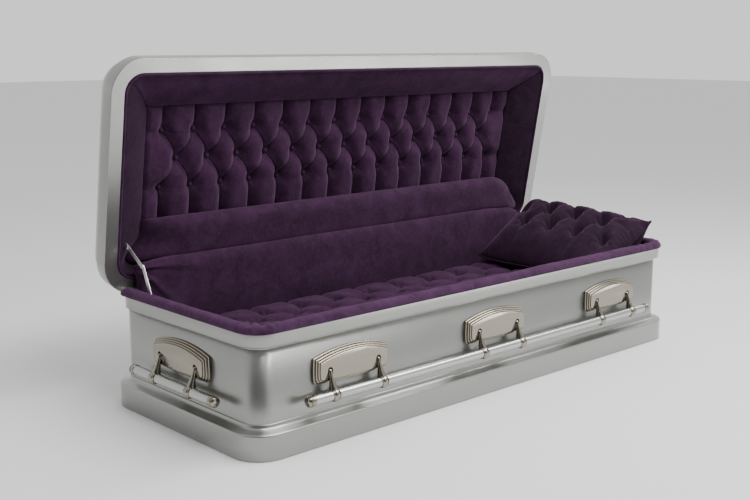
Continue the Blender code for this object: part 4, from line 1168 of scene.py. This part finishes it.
ridge = np.clip((plan_x - 0.905) / 0.05, 0, 1)
ridge = ridge * ridge * (3 - 2 * ridge)
relief = 0.066 + 0.012 * ridge + (0.042 - 0.022 * ridge) * share - 0.028 * (1 - 0.45 * ridge) * pits
relief += fine + 0.004 * soft_noise(plan_x, plan_y, 0.05, 2.0)
relief += 0.045 * (plan_y + 0.10)
relief += 0.0014 * soft_noise(plan_x, plan_y, 0.018, 5.0)
relief -= 0.030 * (1 - along) ** 1.5 * share + 0.006 * ridge
top = seam + lens * relief
pucker = np.sin(plan_y * 290 + 3 * np.sin(plan_y * 31)) * np.exp(-((1 + u) / 0.10) ** 2)
pucker += np.sin(plan_x * 250 + 3 * np.sin(plan_x * 37)) * np.exp(-((1 + v) / 0.10) ** 2)
turn = np.arctan2(PIL_NEAR - plan_y - 0.02, PIL_HEAD - plan_x + 0.02)
from_tip = np.hypot(PIL_NEAR - plan_y, PIL_HEAD - plan_x)
pucker += 2.0 * np.sin(turn * 15 + 6 * from_tip) * np.exp(-((from_tip - 0.06) / 0.045) ** 2)
top += 0.0024 * pucker * np.sqrt(np.clip(lens, 0, 1))
fall = np.clip((1 - np.maximum(np.abs(u), np.abs(v))) / (0.20 + 0.60 * np.abs(u * v) ** 3), 0, 1)
under = seam + (0.2575 - seam) * (1 - (1 - fall) ** 2.4)
under = np.minimum(under, top)
top_rows = [[(plan_x[i, j], plan_y[i, j], top[i, j]) for j in range(u.shape[1])] for i in range(u.shape[0])]
low_rows = [[(plan_x[i, j], plan_y[i, j], under[i, j]) for j in range(u.shape[1])] for i in range(u.shape[0])]
points, faces = skin(top_rows)
low_points, low_faces = skin(low_rows)
faces += [tuple(index + len(points) for index in reversed(face)) for face in low_faces]
# The pillow and its piping take the darker copy of the velvet, which is painted shade.
mesh = mesh_of("pillow_tufted", points + low_points, faces, painted_shade_pillow_velvet)
shape = bmesh.new()
shape.from_mesh(mesh)
bmesh.ops.remove_doubles(shape, verts=shape.verts, dist=0.00005)
bmesh.ops.recalc_face_normals(shape, faces=shape.faces)
shape.to_mesh(mesh)
shape.free()
mesh.shade_smooth()
pillow = put("pillow_tufted", mesh, "root", ["pillow"])
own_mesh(pillow)

rim_path_of_pillow = [(i, 0) for i in range(180)] + [(180, j) for j in range(180)]
rim_path_of_pillow += [(i, 180) for i in range(180, 0, -1)] + [(0, j) for j in range(180, 0, -1)]
seam_line = [Vector((plan_x[i, j], plan_y[i, j], seam[i, j])) for i, j in rim_path_of_pillow]
pipe_rows = []
for index, point in enumerate(seam_line):
    heading = (seam_line[(index + 1) % len(seam_line)] - seam_line[index - 1]).normalized()
    aside = heading.cross(Vector((0, 0, 1))).normalized()
    turns = [2 * math.pi * k / 8 for k in range(8)]
    pipe_rows.append([tuple(point + aside * 0.0036 * math.cos(a) + Vector((0, 0, 0.0036 * math.sin(a)))) for a in turns])
pipe = put("pillow_piping", mesh_of("pillow_piping", *skin(pipe_rows, loop_rows=True, loop_columns=True), painted_shade_pillow_velvet),
           "root")
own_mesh(pipe)
print("pillow", len(mesh.polygons), "faces and", len(pillow_buttons), "buttons")

# %% [markdown]
# ## Floor and light
#
# The picture is a plain studio one: a pale floor, a bright surround and large soft lights. The
# metal shows what surrounds it, so the world is much darker on the camera's side near the horizon and a
# little darker overhead. A large light above the front lights the scene, and a long strip overhead and a low
# panel at the front right, seen only in reflections, draw the bright lines and soft bands on the round corners.

# %% Floor
bpy.ops.mesh.primitive_plane_add(size=60.0, location=(0.0, 0.0, -0.0005))
floor = bpy.context.active_object
floor.name = "floor"
floor_paint = new_finish("floor_paint", (0.93, 0.93, 0.93), 0.9)
plug(floor_paint, Roughness=spread(floor_paint, add_noise(floor_paint, 3), 0.85, 0.95))
floor.data.materials.append(floor_paint)

# %% World and lights
world = bpy.data.worlds.new("studio")
scene.world = world
world.use_nodes = True
surround = world.node_tree.nodes["Background"]
surround.inputs["Strength"].default_value = 1.05
direction = world.node_tree.nodes.new("ShaderNodeTexCoord")
toward = world.node_tree.nodes.new("ShaderNodeVectorMath")
toward.operation = "DOT_PRODUCT"
toward.inputs[1].default_value = (-0.74, -0.66, 0.12)
world.node_tree.links.new(direction.outputs["Generated"], toward.inputs[0])
dim = world.node_tree.nodes.new("ShaderNodeMapRange")
dim.interpolation_type = "SMOOTHSTEP"
dim.inputs["From Min"].default_value = 0.42
dim.inputs["From Max"].default_value = 0.92
world.node_tree.links.new(toward.outputs["Value"], dim.inputs["Value"])
tint = world.node_tree.nodes.new("ShaderNodeMix")
tint.data_type = "RGBA"
tint.inputs[6].default_value = (1.0, 1.0, 1.0, 1.0)
tint.inputs[7].default_value = (0.12, 0.12, 0.12, 1.0)
world.node_tree.links.new(dim.outputs["Result"], tint.inputs[0])
parts = world.node_tree.nodes.new("ShaderNodeSeparateXYZ")
world.node_tree.links.new(direction.outputs["Generated"], parts.inputs["Vector"])
upward = world.node_tree.nodes.new("ShaderNodeMapRange")
upward.interpolation_type = "SMOOTHSTEP"
upward.inputs["From Min"].default_value = 0.07
upward.inputs["From Max"].default_value = 0.34
world.node_tree.links.new(parts.outputs["Z"], upward.inputs["Value"])
higher = world.node_tree.nodes.new("ShaderNodeMix")
higher.data_type = "RGBA"
higher.blend_type = "MULTIPLY"
higher.inputs[7].default_value = (0.84, 0.84, 0.84, 1.0)
world.node_tree.links.new(upward.outputs["Result"], higher.inputs[0])
world.node_tree.links.new(tint.outputs[2], higher.inputs[6])
world.node_tree.links.new(higher.outputs[2], surround.inputs["Color"])


def soft_light(name, place, aim, size, power):
    data = bpy.data.lights.new(name, "AREA")
    data.shape = "RECTANGLE"
    data.size, data.size_y = size
    data.energy = power
    lamp = bpy.data.objects.new(name, data)
    lamp.location = place
    lamp.rotation_euler = (Vector(aim) - Vector(place)).to_track_quat("-Z", "Y").to_euler()
    lamp.visible_camera = False
    scene.collection.objects.link(lamp)
    return lamp


soft_light("key", (0.6, -1.4, 3.2), (0.3, -0.2, 0.4), (4.4, 0.8), 150)
strip = soft_light("strip", (2.6, -1.5, 3.3), (1.6, -0.3, 0.3), (7.0, 0.7), 130)
strip.visible_diffuse = False
reflector = soft_light("reflector", (2.7, -2.9, 0.01), (2.7, -2.9, -1.0), (3.6, 1.9), 125)
reflector.rotation_euler = (math.pi, 0.0, 0.0)
reflector.visible_diffuse = False
